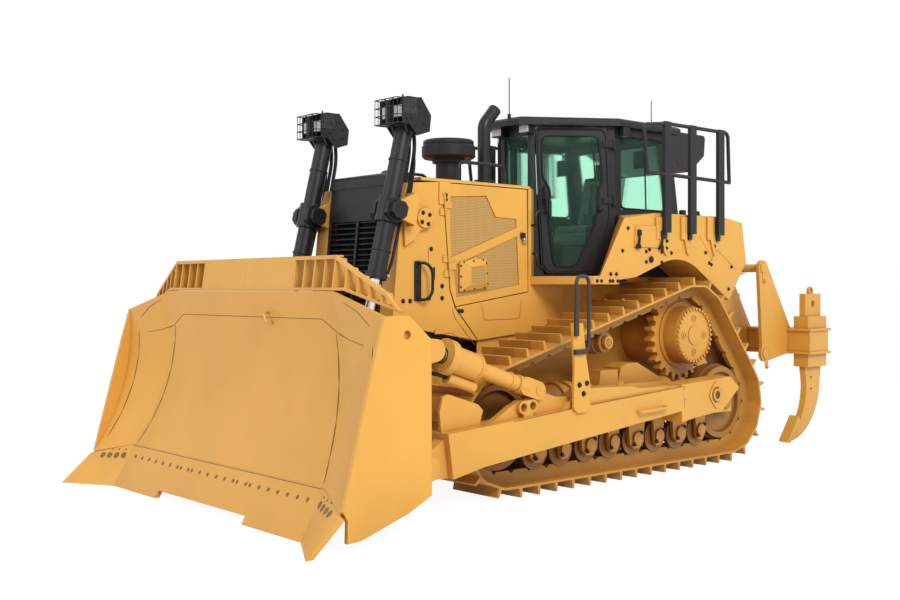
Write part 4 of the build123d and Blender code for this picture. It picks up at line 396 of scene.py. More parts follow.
# The slot of a scene piece goes by its material, where the piece itself names none.
SLOTS = {
    "yellow": "yellow_paint", "seam": "yellow_paint", "screen": "yellow_paint",
    "cast_yellow": "undercarriage_paint", "worn": "undercarriage_paint",
    "black": "black_paint", "plastic": "black_plastic", "rubber": "black_plastic",
    "steel": "rod_chrome", "lens": "lamp_glass",
}
NODE_MATERIAL = {
    "yellow": ["main_frame", "steering_case", "nose_guard", "hood", "engine_door_left", "engine_door_right",
               "fender_left", "fender_right", "fuel_tank", "cab_floor", "push_arms", "moldboard",
               "end_bits", "spill_guard", "cutting_edges", "tilt_barrels", "ripper_bracket", "ripper_link",
               "ripper_toolbar", "ripper_shanks"],
    "cast_yellow": ["track_frame_left", "track_frame_right", "sprocket_left", "sprocket_right"],
    "chain": ["track_rollers_left", "track_rollers_right"],
    "black": ["nose_cap", "cab_frame", "cab_roof", "cab_door_left", "cab_door_right", "handrail_left",
              "handrail_right", "lift_barrels", "lamp_guards", "air_conditioner", "ripper_pitch_cylinders",
              "ripper_barrels", "exhaust_stack", "radiator", "grille"],
    "plastic": ["precleaner", "cab_controls", "antennas"],
    "iron": ["engine_block", "drive_train"],
    "chrome": ["lift_rods", "tilt_rods", "ripper_rods"],
    "glass": ["cab_windows", "cab_door_glass_left", "cab_door_glass_right"],
    "fabric": ["operator_seat"],
    "lamp": ["headlamps"],
    "post": ["step_posts"],
    "track": ["track_left", "track_right"],
}


# ---------------------------------------------------------------- mesh tools
def softened(points, bend, steps=4):
    """The path with each inner corner rounded."""
    points = [Vector(p) for p in points]
    path = [points[0]]
    for before, here, after in zip(points, points[1:], points[2:]):
        into, out = before - here, after - here
        reach = min(bend, into.length * 0.45, out.length * 0.45)
        start, end = here + into.normalized() * reach, here + out.normalized() * reach
        for step in range(steps + 1):
            t = step / steps
            path.append(start * (1 - t) ** 2 + here * 2 * t * (1 - t) + end * t ** 2)
    return path + [points[-1]]


def touch(names, origin, direction):
    """Where a straight line first meets one of these CAD nodes, and the surface's outward direction there."""
    origin, direction = Vector(origin), Vector(direction).normalized()
    best = None
    for name in names:
        hit, place, normal, _ = NODES[name].ray_cast(origin, direction)
        if hit and (best is None or (place - origin).length < (best[0] - origin).length):
            best = (place, normal)
    return best


def left_face(names, x, z, start, missing=None):
    """How far to the left these nodes reach at (x, z), seen from start."""
    found = touch(names, (x, start, z), INWARD)
    return found[0].y if found else missing


def circle(centre, side, up, radius, sides):
    ring = []
    for k in range(sides):
        angle = 2 * pi * k / sides
        ring.append(centre + (side * cos(angle) + up * sin(angle)) * radius)
    return ring


class Kit:
    """Gathers small solids of one material that ride on one body and makes one piece of them.

    side is 0 for a mirrored pair, 1 for what is drawn alone, -1 for its mirror image alone.
    """

    def __init__(self, name, body, key, slot=None, side=0, bevel=0.0):
        self.name, self.body, self.key, self.slot = name, body, key, slot or SLOTS[key]
        self.both, self.side, self.bevel = side == 0, side or 1, bevel
        self.mesh = bmesh.new()

    def vert(self, place):
        return self.mesh.verts.new((place[0], place[1] * self.side, place[2]))

    def loops(self, rings, closed=False):
        """Skin over rings of points, with its ends capped unless it closes on itself."""
        made = [[self.vert(p) for p in ring] for ring in rings]
        pairs = list(zip(made, made[1:]))
        if closed:
            pairs.append((made[-1], made[0]))
        for a, b in pairs:
            for k in range(len(a)):
                j = (k + 1) % len(a)
                self.mesh.faces.new((a[k], a[j], b[j], b[k]))
        if not closed:
            self.mesh.faces.new(made[0][::-1])
            self.mesh.faces.new(made[-1])

    def prism(self, points, push):
        push = Vector(push)
        self.loops([[Vector(p) for p in points], [Vector(p) + push for p in points]])

    def plate(self, points, y_low, y_high):
        self.prism([(x, y_low, z) for x, z in points], (0, y_high - y_low, 0))

    def box(self, low, high):
        (x0, y0, z0), (x1, y1, z1) = low, high
        self.prism([(x0, y0, z0), (x1, y0, z0), (x1, y0, z1), (x0, y0, z1)], (0, y1 - y0, 0))

    def turned(self, centre, axis, profile, sides=24, hollow=False):
        """Profile of (radius, distance along the axis) turned about it."""
        centre, axis = Vector(centre), Vector(axis).normalized()
        side = axis.orthogonal().normalized()
        up = axis.cross(side)
        rings = [circle(centre + axis * along, side, up, radius, sides) for radius, along in profile]
        self.loops(rings, closed=hollow)

    def ring(self, centre, axis, outer, inner, high, sides, low=0):
        profile = [(outer, low), (outer, high), (inner, high), (inner, low)]
        self.turned(centre, axis, profile, sides, hollow=True)

    def bolt(self, place, axis, radius):
        """Hexagon head on its washer."""
        self.turned(place, axis, [(radius * 1.35, -0.002), (radius * 1.35, 0.003)], 16)
        head = [(radius, 0.003), (radius, 0.003 + radius * 0.6), (radius * 0.8, 0.004 + radius * 0.75)]
        self.turned(place, axis, head, 6)

    def bolt_on(self, names, origin, direction, radius):
        found = touch(names, origin, direction)
        if found:
            self.bolt(found[0], found[1], radius)

    def bolts_on(self, names, places, start, radius):
        """Bolts at (x, z) on the side wall."""
        for x, z in places:
            self.bolt_on(names, (x, start, z), INWARD, radius)

    def spot(self, names, origin, direction, radius):
        """Flat dark disc that reads as a hole: painted shade where the recess would be."""
        found = touch(names, origin, direction)
        if found:
            self.turned(found[0], found[1], [(radius, -SINK), (radius, 0.0012)], 20)

    def panel(self, names, points, thick):
        """Sheet whose corners (x, z) follow the side wall under it."""
        found = [touch(names, (x, 2.0, z), INWARD) for x, z in points]
        if all(found):
            out = Vector(OUT)
            self.loops([[f[0] - out * SINK for f in found], [f[0] + out * thick for f in found]])

    def tube(self, points, radius, bend=0.05, sides=10):
        path = softened(points, bend)
        side = None
        rings = []
        for index, here in enumerate(path):
            ahead = (path[min(index + 1, len(path) - 1)] - path[max(index - 1, 0)]).normalized()
            if side is None:
                side = ahead.orthogonal()
            side = (side - ahead * side.dot(ahead)).normalized()
            rings.append(circle(here, side, ahead.cross(side), radius, sides))
        self.loops(rings)

    def seam(self, points, normal, width=SEAM_WIDTH):
        """Thin line laid on a surface."""
        normal = Vector(normal).normalized()
        points = [Vector(p) for p in points]
        for a, b in zip(points, points[1:]):
            along = (b - a).normalized()
            across = along.cross(normal).normalized() * (width / 2)
            a, b = a - along * width / 2, b + along * width / 2
            low = normal * -SEAM_DEPTH
            corners = [a - across + low, b - across + low, b + across + low, a + across + low]
            self.prism(corners, normal * (SEAM_PROUD + SEAM_DEPTH))

    def seam_on(self, names, origins, direction, width=SEAM_WIDTH):
        """Seam through the points where lines from these origins meet the nodes."""
        found = [touch(names, origin, direction) for origin in origins]
        found = [f for f in found if f]
        for (a, normal_a), (b, normal_b) in zip(found, found[1:]):
            self.seam([a, b], normal_a + normal_b, width)

    def side_seam(self, names, path, start, width=SEAM_WIDTH):
        """Seam through points (x, z) of the side wall."""
        self.seam_on(names, [(x, start, z) for x, z in path], INWARD, width)

    def done(self):
        if self.both:
            whole = self.mesh.verts[:] + self.mesh.edges[:] + self.mesh.faces[:]
            copy = bmesh.ops.duplicate(self.mesh, geom=whole)
            for item in copy["geom"]:
                if isinstance(item, bmesh.types.BMVert):
                    item.co.y = -item.co.y
        bmesh.ops.recalc_face_normals(self.mesh, faces=self.mesh.faces[:])
        mesh = bpy.data.meshes.new(self.name)
        self.mesh.to_mesh(mesh)
        self.mesh.free()
        mesh.polygons.foreach_set("use_smooth", [True] * len(mesh.polygons))
        mesh.set_sharp_from_angle(angle=radians(35))
        mesh.materials.append(MATERIALS[self.key])
        piece = bpy.data.objects.new(self.name, mesh)
        bpy.context.scene.collection.objects.link(piece)
        if self.bevel:
            rounding = piece.modifiers.new("edges", "BEVEL")
            rounding.width, rounding.segments = self.bevel, 2
            rounding.limit_method = "ANGLE"
            rounding.angle_limit = radians(40)
            rounding.harden_normals = True
        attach(piece, self.body)
        return piece


# ---------------------------------------------------------------- nose, hood and engine doors
def nose_pieces():
    skin = ["nose_guard", "hood", "main_frame"]
    bolts = Kit("nose_bolts", "chassis", "plastic")
    heads = ((1.658, 2.108), (1.532, 1.787), (1.532, 1.681), (1.681, 1.682), (1.971, 1.658), (1.894, 1.658),
             (1.601, 1.385), (1.520, 1.383), (1.332, 1.565), (1.296, 1.564))
    bolts.bolts_on(skin, heads, 1.0, 0.015)
    slot = [(1.613, 1.952), (1.635, 1.952), (1.635, 1.839), (1.613, 1.839)]
    bolts.plate(slot, SIDE_Y - SINK, SIDE_Y + 0.001)
    bolts.done()
    handle = Kit("nose_handles", "chassis", "black", bevel=0.004)
    plate = [(1.850, 1.657), (1.782, 1.657), (1.776, 1.680), (1.776, 1.985), (1.790, 2.002), (1.842, 2.002),
             (1.850, 1.980)]
    handle.plate(plate, SIDE_Y - SINK, SIDE_Y + 0.012)
    handle.done()
    loop = Kit("nose_handle_loops", "chassis", "black")
    foot, knee, grip = SIDE_Y + 0.008, SIDE_Y + 0.07, SIDE_Y + 0.085
    loop.tube([(1.818, foot, 1.985), (1.76, knee, 1.985), (1.712, grip, 1.92), (1.712, grip, 1.73),
               (1.76, knee, 1.668), (1.818, foot, 1.668)], 0.014, 0.05)
    for z in (1.70, 1.83, 1.95):
        loop.bolt((1.815, SIDE_Y + 0.012, z), OUT, 0.013)
    loop.done()
    seams = Kit("nose_seams", "chassis", "seam", "black_plastic")
    for path, width in (([(1.410, 1.577), (1.380, 1.503), (1.260, 1.375), (1.141, 1.262)], 0.007),
                        ([(1.141, 1.300), (1.301, 1.312), (1.420, 1.37), (1.60, 1.375)], SEAM_WIDTH)):
        seams.seam([(x, SIDE_Y, z) for x, z in path], OUT, width)
    hatch = ((1.059, 1.610), (1.029, 1.49), (1.00, 1.478), (0.62, 1.483), (0.573, 1.50), (0.551, 1.655))
    seams.side_seam(["hood"], hatch, 1.0)
    seams.seam([(1.688, SIDE_Y, 2.108), (1.688, SIDE_Y, 1.99)], OUT)
    seams.done()
    pads = Kit("cylinder_bearing_pads", "chassis", "yellow", bevel=0.006)
    pad = [(1.86, 2.50), (1.76, 2.46), (1.69, 2.38), (1.71, 2.28), (1.80, 2.26), (1.86, 2.18), (1.97, 2.12),
           (1.985, 2.40)]
    pads.plate(pad, SIDE_Y - SINK, SIDE_Y + 0.03)
    pads.turned((1.755, SIDE_Y + 0.028, 2.37), OUT, [(0.092, -0.02), (0.092, 0.014), (0.084, 0.022)], 36)
    pads.box((1.44, SIDE_Y - SINK, 2.50), (1.57, SIDE_Y + 0.012, 2.70))
    pads.box((1.50, SIDE_Y - SINK, 1.365), (1.625, SIDE_Y + 0.016, 1.40))
    pads.done()
    heads = Kit("bearing_pad_bolts", "chassis", "plastic")
    for x, z in ((1.79, 2.415), (1.715, 2.40), (1.80, 2.335), (1.73, 2.32)):
        heads.bolt((x, SIDE_Y + 0.050, z), OUT, 0.014)
    for z in (2.585, 2.545):
        heads.bolt((1.498, SIDE_Y + 0.012, z), OUT, 0.015)
    heads.done()


def hood_pieces():
    rails = Kit("hood_handrails", "chassis", "black")
    arch = ((1.30, 2.728), (1.30, 2.90), (0.72, 2.90), (0.72, 2.728))
    rails.tube([(x, 0.56, z) for x, z in arch], 0.016, 0.08)
    low, high = SIDE_Y - 0.02, SIDE_Y + 0.05
    rails.tube([(0.300, low, 2.500), (0.310, high, 2.500), (0.408, high, 2.485), (0.412, high, 2.365),
                (0.412, SIDE_Y, 2.358)], 0.013, 0.05)
    rails.tube([(0.398, SIDE_Y, 2.095), (0.398, high, 2.090), (0.392, high, 1.985), (0.290, high, 1.958),
                (0.280, low, 1.955)], 0.013, 0.05)
    rails.done()
    edge = Kit("hood_top_seams", "chassis", "seam", "black_plastic", side=1)
    for x in (1.48, 0.53):
        edge.seam_on(["hood"], [(x, y, 3.2) for y in (-0.56, -0.2, 0.2, 0.56)], DOWN)
    for y in (-0.33, 0.33):
        edge.seam_on(["hood"], [(x, y, 3.2) for x in (0.53, 0.9, 1.48)], DOWN)
    edge.done()


def engine_door_pieces(side, sign):
    body = "engine_door_" + side
    sheet = Kit("engine_screens_" + side, body, "screen", side=sign)
    upper = [(1.442, 2.572), (1.001, 2.602), (0.882, 2.416), (0.623, 2.408), (0.613, 2.332), (1.422, 2.044)]
    lower = [(1.397, 1.962), (0.611, 2.246), (0.583, 1.802), (1.357, 1.693)]
    back = SIDE_Y - 0.0125
    for corners in (upper, lower):
        sheet.plate(corners, back, back + 0.004)
    sheet.done()
    vent = Kit("vent_box_" + side, body, "yellow", side=sign, bevel=0.003)
    outer = [(1.335, 1.735), (1.335, 2.005), (1.010, 2.040), (0.990, 1.77)]
    inner = [(1.215, 1.80), (1.215, 1.955), (1.06, 1.97), (1.05, 1.815)]
    for k in range(4):
        j = (k + 1) % 4
        wall = (outer[k], outer[j], inner[j], inner[k])
        vent.loops([[(x, SIDE_Y - 0.008, z) for x, z in wall],
                    [(x, SIDE_Y + high, z) for (x, z), high in zip(wall, (0.016, 0.016, 0.040, 0.040))]])
    vent.done()
    inner_sheet = Kit("vent_screen_" + side, body, "screen", side=sign)
    inner_sheet.plate(inner, SIDE_Y + 0.016, SIDE_Y + 0.034)
    inner_sheet.done()
    trim = Kit("engine_door_trim_" + side, body, "plastic", side=sign)
    for k in range(4):
        a, b = outer[k], outer[(k + 1) % 4]
        for step in (0.12, 0.5, 0.88):
            x, z = a[0] + (b[0] - a[0]) * step, a[1] + (b[1] - a[1]) * step
            x, z = x + (1.17 - x) * 0.06, z + (1.885 - z) * 0.08
            trim.bolt((x, SIDE_Y + 0.019, z), OUT, 0.007)
    trim.box((0.515, SIDE_Y - SINK, 2.235), (0.565, SIDE_Y + 0.02, 2.285))
    trim.turned((0.54, SIDE_Y + 0.02, 2.235), OUT, [(0.02, 0), (0.02, 0.012)], 16)
    trim.done()
    lever = Kit("engine_door_latch_" + side, body, "steel", side=sign, bevel=0.002)
    lever.box((0.495, SIDE_Y + 0.012, 2.185), (0.545, SIDE_Y + 0.022, 2.200))
    lever.turned((0.545, SIDE_Y + 0.020, 2.225), OUT, [(0.014, 0), (0.014, 0.02), (0.010, 0.024)], 16)
    lever.done()


# ---------------------------------------------------------------- lift cylinders and lamps
def lift_line(distance, back=0.0, across=0.0):
    """Point this far down the lift cylinder from its trunnion, and this far behind and beside its axis."""
    length = hypot(LIFT_EYE[0] - LIFT_TRUNNION[0], LIFT_EYE[1] - LIFT_TRUNNION[1])
    x, z = (top + (eye - top) * distance / length for top, eye in zip(LIFT_TRUNNION, LIFT_EYE))
    return x - LIFT_AHEAD.x * back, LIFT_Y + across, z - LIFT_AHEAD.z * back


def lift_pieces():
    collars = Kit("cylinder_collars", "lift_barrels", "black", bevel=0.004)
    bore = 0.070                                    # inside the barrel's wall, clear of the piston
    for start, end, radius in ((-0.11, 0.11, 0.104), (0.545, 0.594, 0.094), (-0.80, -0.775, 0.088),
                               (0.34, 0.36, 0.086), (-0.45, -0.43, 0.086)):
        collars.ring(lift_line(start), LIFT_AXIS, radius, bore, end - start, 32)
    octagon = ((-1, -0.5), (-0.5, -1), (0.5, -1), (1, -0.5), (1, 0.5), (0.5, 1), (-0.5, 1), (-1, 0.5))
    for low, high, half in ((-0.168, -0.10, 0.075), (-0.112, -0.066, 0.098), (0.066, 0.112, 0.098),
                            (0.10, 0.168, 0.075)):
        middle = Vector(lift_line(0, across=low))
        corners = [middle + LIFT_AHEAD * (half * a) + LIFT_AXIS * (half * b) for a, b in octagon]
        collars.prism(corners, (0, high - low, 0))
    collars.done()
    hoses = Kit("cylinder_hoses", "lift_barrels", "rubber")
    for offset, reach, radius in ((-0.05, -0.74, 0.017), (0.02, -0.74, 0.017), (0.06, -0.60, 0.011)):
        route = ((reach, 0.085), (reach + 0.16, 0.135), (-0.20, 0.15), (-0.06, 0.135))
        hoses.tube([lift_line(distance, back, offset) for distance, back in route], radius, 0.10)
    route = ((-0.06, 0.125), (0.12, 0.118), (0.42, 0.112), (0.55, 0.085))
    hoses.tube([lift_line(distance, back, 0.03) for distance, back in route], 0.013, 0.06)
    hoses.done()
    fittings = Kit("cylinder_fittings", "lift_barrels", "steel")
    x, y, z = lift_line(-0.825, across=0.02)
    fittings.turned((x + 0.03, y, z), -LIFT_AXIS, [(0.03, 0), (0.03, 0.02), (0.018, 0.03)], 12)
    fittings.turned(lift_line(0.55, 0.075, 0.03), -LIFT_AHEAD, [(0.018, 0), (0.018, 0.03)], 6)
    fittings.done()


def lamp_pieces():
    """Caged lamps ahead of the cylinder tops, each pair with its plate housing behind."""
    shell = Kit("lamp_housings", "lift_barrels", "black", bevel=0.004)
    wires = Kit("lamp_cages", "lift_barrels", "plastic")
    lens = Kit("lamp_lenses", "lift_barrels", "lens", bevel=0.006)
    y = LIFT_Y
    half, pitch = 0.153, 0.051                      # of the cage, across
    low, high, near, far = 3.15, 3.36, 2.01, 2.145
    plate = [(1.79, 3.10), (1.775, 3.24), (1.885, 3.385), (2.03, 3.355), (2.055, 3.20), (1.93, 3.055)]
    for inner, outer in ((y - 0.160, y - 0.148), (y + 0.148, y + 0.160)):
        shell.plate(plate, inner, outer)
    lid = ((1.885, 3.373), (2.03, 3.343), (2.033, 3.355), (1.885, 3.385))
    shell.prism([(x, y - 0.15, z) for x, z in lid], (0, 0.30, 0))
    shell.box((2.005, y - 0.152, 3.145), (2.022, y + 0.152, 3.362))
    shell.box((2.02, y - 0.012, 3.155), (2.13, y + 0.012, 3.35))
    for side in (y - half, y + 0.149):
        shell.box((2.02, side, 3.152), (2.082, side + 0.004, 3.358))
    for z in ((3.354, 3.360), (3.150, 3.156)):
        shell.box((2.02, y - 0.150, z[0]), (2.10, y + 0.150, z[1]))
    shell.prism([(1.95, y - 0.01, 3.37), (1.975, y - 0.01, 3.37), (1.962, y - 0.005, 3.425)], (0, 0.02, 0))
    for centre in (y - 0.082, y + 0.082):
        shell.box((2.02, centre - 0.060, 3.20), (2.075, centre + 0.060, 3.315))
        lens.box((2.072, centre - 0.052, 3.208), (2.083, centre + 0.052, 3.307))
    shell.done()
    lens.done()

    def wire(start, end):
        wires.tube([start, end], 0.0035, 0.01, 6)

    for outboard in (y - half, y + half):
        for x in (2.03, 2.085, 2.14):
            wire((x, outboard, low), (x, outboard, high))
    for z in (low, 3.22, 3.29, high):
        hoop = [(near, y - half, z), (far, y - half, z), (far, y + half, z), (near, y + half, z)]
        wires.tube(hoop, 0.0045, 0.02, 6)
    for step in range(1, 6):
        across = y - half + step * pitch
        wire((far, across, low), (far, across, high))
    for step in (0, 2, 4, 6):
        across = y - half + step * pitch
        for z in (high, low):
            wire((near, across, z), (far, across, z))
    for x, z in ((1.85, 3.16), (1.90, 3.30), (1.98, 3.29), (1.84, 3.24), (1.95, 3.14), (1.99, 3.20)):
        wires.bolt((x, y + 0.160, z), OUT, 0.010)
        wires.bolt((x, y - 0.160, z), INWARD, 0.010)
    wires.done()


# ---------------------------------------------------------------- cab
DOOR_ALONG, DOOR_AWAY = Vector((-0.8, 0.6, 0)), Vector((0.6, 0.8, 0))


def door_place(s, z, out=0.0):
    """Point on the cab door's wall: s along it from its front corner, out away from the cab."""
    spot = Vector((0.0, 0.22, 0.0)) + DOOR_ALONG * s + DOOR_AWAY * (out + 0.05)
    return Vector((spot.x, spot.y, z))


def ring_from_middle(path):
    """The closed path with its start halfway along the first side, so that all corners can be rounded."""
    middle = (path[0] + path[1]) / 2
    return [middle] + path[1:] + [path[0], middle]


def cab_door_pieces(side, sign):
    body = "cab_door_" + side
    gasket = Kit("door_gasket_" + side, body, "rubber", side=sign)
    pane = [(0.084, 3.278), (0.656, 3.278), (0.692, 2.819), (0.640, 2.735), (0.628, 2.430), (0.428, 1.985),
            (0.204, 1.985), (0.146, 2.446), (0.172, 2.744), (0.090, 2.866)]
    leaf = [(0.038, 3.346), (0.722, 3.346), (0.762, 2.457), (0.584, 1.936), (0.142, 1.936), (0.096, 2.016),
            (0.066, 2.644)]
    for outline, out, radius in ((pane, -0.005, 0.010), (leaf, -0.002, 0.004)):
        gasket.tube(ring_from_middle([door_place(s, z, out) for s, z in outline]), radius, 0.07, 8)
    gasket.done()
    handle = Kit("door_handle_" + side, body, "plastic", side=sign, bevel=0.003)
    a, b = door_place(0.108, 2.764), door_place(0.130, 2.515)
    handle.tube([a, a + DOOR_AWAY * 0.05, b + DOOR_AWAY * 0.05, b], 0.013, 0.03)
    plates = [(((0.09, 2.66), (0.145, 2.66), (0.15, 2.60), (0.095, 2.60)),
               ((0.095, 2.655), (0.14, 2.655), (0.145, 2.605), (0.10, 2.605)), 0.022)]
    square = ((-1, -1), (1, -1), (1, 1), (-1, 1))
    for z in (2.64, 3.20):
        foot = [(0.70 if a < 0 else 0.77, z + b * 0.03) for a, b in square]
        top = [(0.705 if a < 0 else 0.765, z + b * 0.026) for a, b in square]
        plates.append((foot, top, 0.010))
    for foot, top, high in plates:
        handle.loops([[door_place(s, z) for s, z in foot], [door_place(s, z, high) for s, z in top]])
    handle.done()
    wiper = Kit("door_wiper_" + side, body, "plastic", side=sign)
    foot = door_place(0.665, 2.55, 0.004)
    wiper.turned(foot, DOOR_AWAY, [(0.024, 0), (0.024, 0.03), (0.016, 0.04)], 16)
    arm = [foot + DOOR_AWAY * 0.03, door_place(0.655, 2.80, 0.036), door_place(0.60, 3.12, 0.030)]
    wiper.tube(arm, 0.0055, 0.05, 8)
    wiper.tube([door_place(0.615, 2.82, 0.018), door_place(0.585, 3.24, 0.018)], 0.007, 0.02, 8)
    wiper.done()


def cab_pieces():
    roof = Kit("roof_trim", "chassis", "black", bevel=0.005)
    roof.box((0.02, 0.12, 3.30), (0.10, 0.27, 3.395))
    roof.box((-0.80, 0.745, 3.285), (-0.70, 0.80, 3.375))
    roof.done()
    lens = Kit("cab_lamp_lenses", "chassis", "lens", bevel=0.004)
    lens.box((0.098, 0.132, 3.312), (0.106, 0.258, 3.383))
    lens.done()
    fascia = Kit("roof_seams", "chassis", "rubber")
    for z in (3.392, 3.44):
        for run in ((-1.40, -1.0, -0.66), (-0.55, -0.30, -0.05)):
            fascia.side_seam(["cab_roof"], [(x, z) for x in run], 1.6, 0.012)
    fascia.done()
    bars = Kit("window_frames", "chassis", "rubber")
    pane = [(-0.745, 3.295), (-1.470, 3.295), (-1.550, 2.570), (-0.755, 2.570)]
    wall = [Vector((x, left_face(["cab_windows", "cab_frame"], x, z, 1.6, 0.72), z)) for x, z in pane]
    bars.tube(ring_from_middle(wall), 0.012, 0.08, 8)
    bars.tube([(-1.13, wall[0].y + 0.004, 3.295), (-1.16, wall[2].y + 0.004, 2.57)], 0.008, 0.01, 8)
    bars.done()
    mirror = Kit("side_mirrors", "chassis", "plastic", bevel=0.006)
    mirror.box((-1.28, 0.46, 3.02), (-1.26, 0.64, 3.20))
    mirror.tube([(-1.27, 0.55, 3.18), (-1.30, 0.60, 3.36)], 0.008, 0.02, 8)
    mirror.done()
    knobs = Kit("cab_fittings", "chassis", "plastic", side=1, bevel=0.004)
    knobs.box((-0.34, -0.16, 2.48), (-0.30, 0.16, 2.66))
    for y in (-0.36, 0.36):
        lever = [(0.012, 0), (0.012, 0.12), (0.026, 0.13), (0.030, 0.17), (0.018, 0.20)]
        knobs.turned((-0.72, y, 2.63), (0, 0, 1), lever, 16)
        stick = [(0.009, 0), (0.009, 0.09), (0.020, 0.10), (0.020, 0.13)]
        knobs.turned((-0.62, y * 0.86, 2.62), (0, 0, 1), stick, 12)
    knobs.done()
    face = Kit("monitor_screen", "chassis", "lens", side=1)
    face.box((-0.3415, -0.13, 2.50), (-0.3400, 0.13, 2.64))
    face.done()
    unit = Kit("rear_unit_trim", "chassis", "plastic", side=1, bevel=0.004)
    for z in (3.13, 3.19, 3.25, 3.31):
        unit.box((-2.205, -0.38, z), (-2.188, 0.38, z + 0.022))
    for y in (-0.42, 0.42):
        unit.box((-2.225, y - 0.07, 3.33), (-2.185, y + 0.07, 3.43))
    unit.done()
    rear_lens = Kit("rear_lamp_lenses", "chassis", "lens", side=1, bevel=0.003)
    for y in (-0.42, 0.42):
        rear_lens.box((-2.231, y - 0.058, 3.342), (-2.224, y + 0.058, 3.418))
    rear_lens.done()


# ---------------------------------------------------------------- fenders and platform
def fender_pieces():
    skin = ["fender_left"]
    yellow = Kit("fender_plates", "chassis", "yellow", bevel=0.003)
    face = left_face(skin, -1.0, 2.15, 2.0)
    yellow.panel(skin, [(-0.385, 2.36), (-0.83, 2.38), (-0.835, 2.16), (-0.37, 2.16)], 0.012)
    yellow.panel(skin, [(-0.538, 2.149), (-0.799, 2.155), (-0.799, 1.905), (-0.538, 1.903)], 0.010)
    brackets = (((-0.717, 2.478), (-0.888, 2.093)), ((-1.112, 2.495), (-1.243, 2.10)),
                ((-1.545, 2.514), (-1.682, 2.109)))
    for (x0, z0), (x1, z1) in brackets:
        front, rear, bend = x0 + 0.03, x0 - 0.06, z1 + 0.155
        top, foot = z0 - 0.02, z1 + 0.15
        yellow.panel(skin, [(front, top), (rear, top), (rear, foot), (front, foot)], 0.020)
        yellow.panel(skin, [(x0 - 0.02, bend), (rear, bend), (x1 + 0.02, z1), (x1 + 0.06, z1)], 0.020)
    yellow.done()
    bolts = Kit("fender_bolts", "chassis", "plastic")
    heads = ((-0.385, 2.455), (-0.28, 2.335), (-0.20, 2.12), (-0.03, 1.90), (-0.11, 1.90), (-0.60, 2.14),
             (-0.885, 2.335), (-0.870, 2.23), (-0.865, 2.16), (-0.885, 1.97), (-0.79, 2.12), (-0.79, 2.02),
             (-0.79, 1.92), (-0.55, 2.12), (-0.55, 2.02), (-0.55, 1.92), (-0.94, 2.115), (-1.19, 2.13),
             (-1.50, 2.13), (-1.562, 2.025), (-1.60, 2.010), (-1.95, 1.99), (-1.90, 1.76), (-2.03, 1.75),
             (-1.93, 2.53), (-1.62, 2.20), (-1.655, 2.20))
    bolts.bolts_on(skin, heads, 2.0, 0.014)
    sill = [(x, 1.835) for x in (0.10, 0.16, -0.02, -0.06, -0.13, -0.40)]
    bolts.bolts_on(["fender_left", "cab_floor"], sill, 2.0, 0.013)
    bolts.done()
    seams = Kit("fender_seams", "chassis", "seam", "black_plastic")
    for path in ([(-1.562, 2.025), (-1.699, 2.161), (-1.86, 2.07), (-2.036, 1.959)],
                 [(-0.86, 2.40), (-0.86, 1.90)], [(-1.40, 2.30), (-1.62, 2.05)]):
        seams.side_seam(skin, path, 2.0)
    seams.done()
    steps = Kit("fender_steps", "chassis", "black")
    y = left_face(skin, -0.35, 1.84, 2.0, 1.2) + 0.012
    steps.tube([(-0.237, y, 1.83), (-0.237, y, 2.063), (-0.430, y, 2.063), (-0.430, y, 1.83)], 0.014, 0.06)
    steps.tube([(-0.06, y, 1.822), (-0.46, y, 1.822)], 0.026, 0.02, 12)
    steps.done()
    latch = Kit("hatch_latches", "chassis", "rubber", bevel=0.004)
    for x in (-0.425, -0.77):
        latch.box((x - 0.022, face + 0.004, 2.27), (x + 0.022, face + 0.034, 2.325))
        strap = [(x, face + 0.022, 2.29), (x + 0.008, face + 0.030, 2.22), (x + 0.014, face + 0.022, 2.165)]
        latch.tube(strap, 0.012, 0.02, 8)
        latch.box((x - 0.016, face + 0.004, 2.145), (x + 0.044, face + 0.032, 2.185))
    latch.turned((-0.62, face + 0.008, 2.045), OUT, [(0.032, 0), (0.032, 0.006), (0.020, 0.010)], 20)
    latch.done()
    caps = Kit("tank_caps", "chassis", "plastic", side=1, bevel=0.002)
    for x, y, high in ((-1.413, 0.98, 0.06), (-1.55, 1.05, 0.05), (-1.35, -0.98, 0.06)):
        found = touch(["fender_left", "fender_right", "fuel_tank"], (x, y, 3.2), DOWN)
        if found:
            shape = [(0.045, -0.002), (0.045, 0.02), (0.036, 0.022), (0.036, high), (0.028, high + 0.008)]
            caps.turned(found[0], (0, 0, 1), shape, 20)
    caps.done()


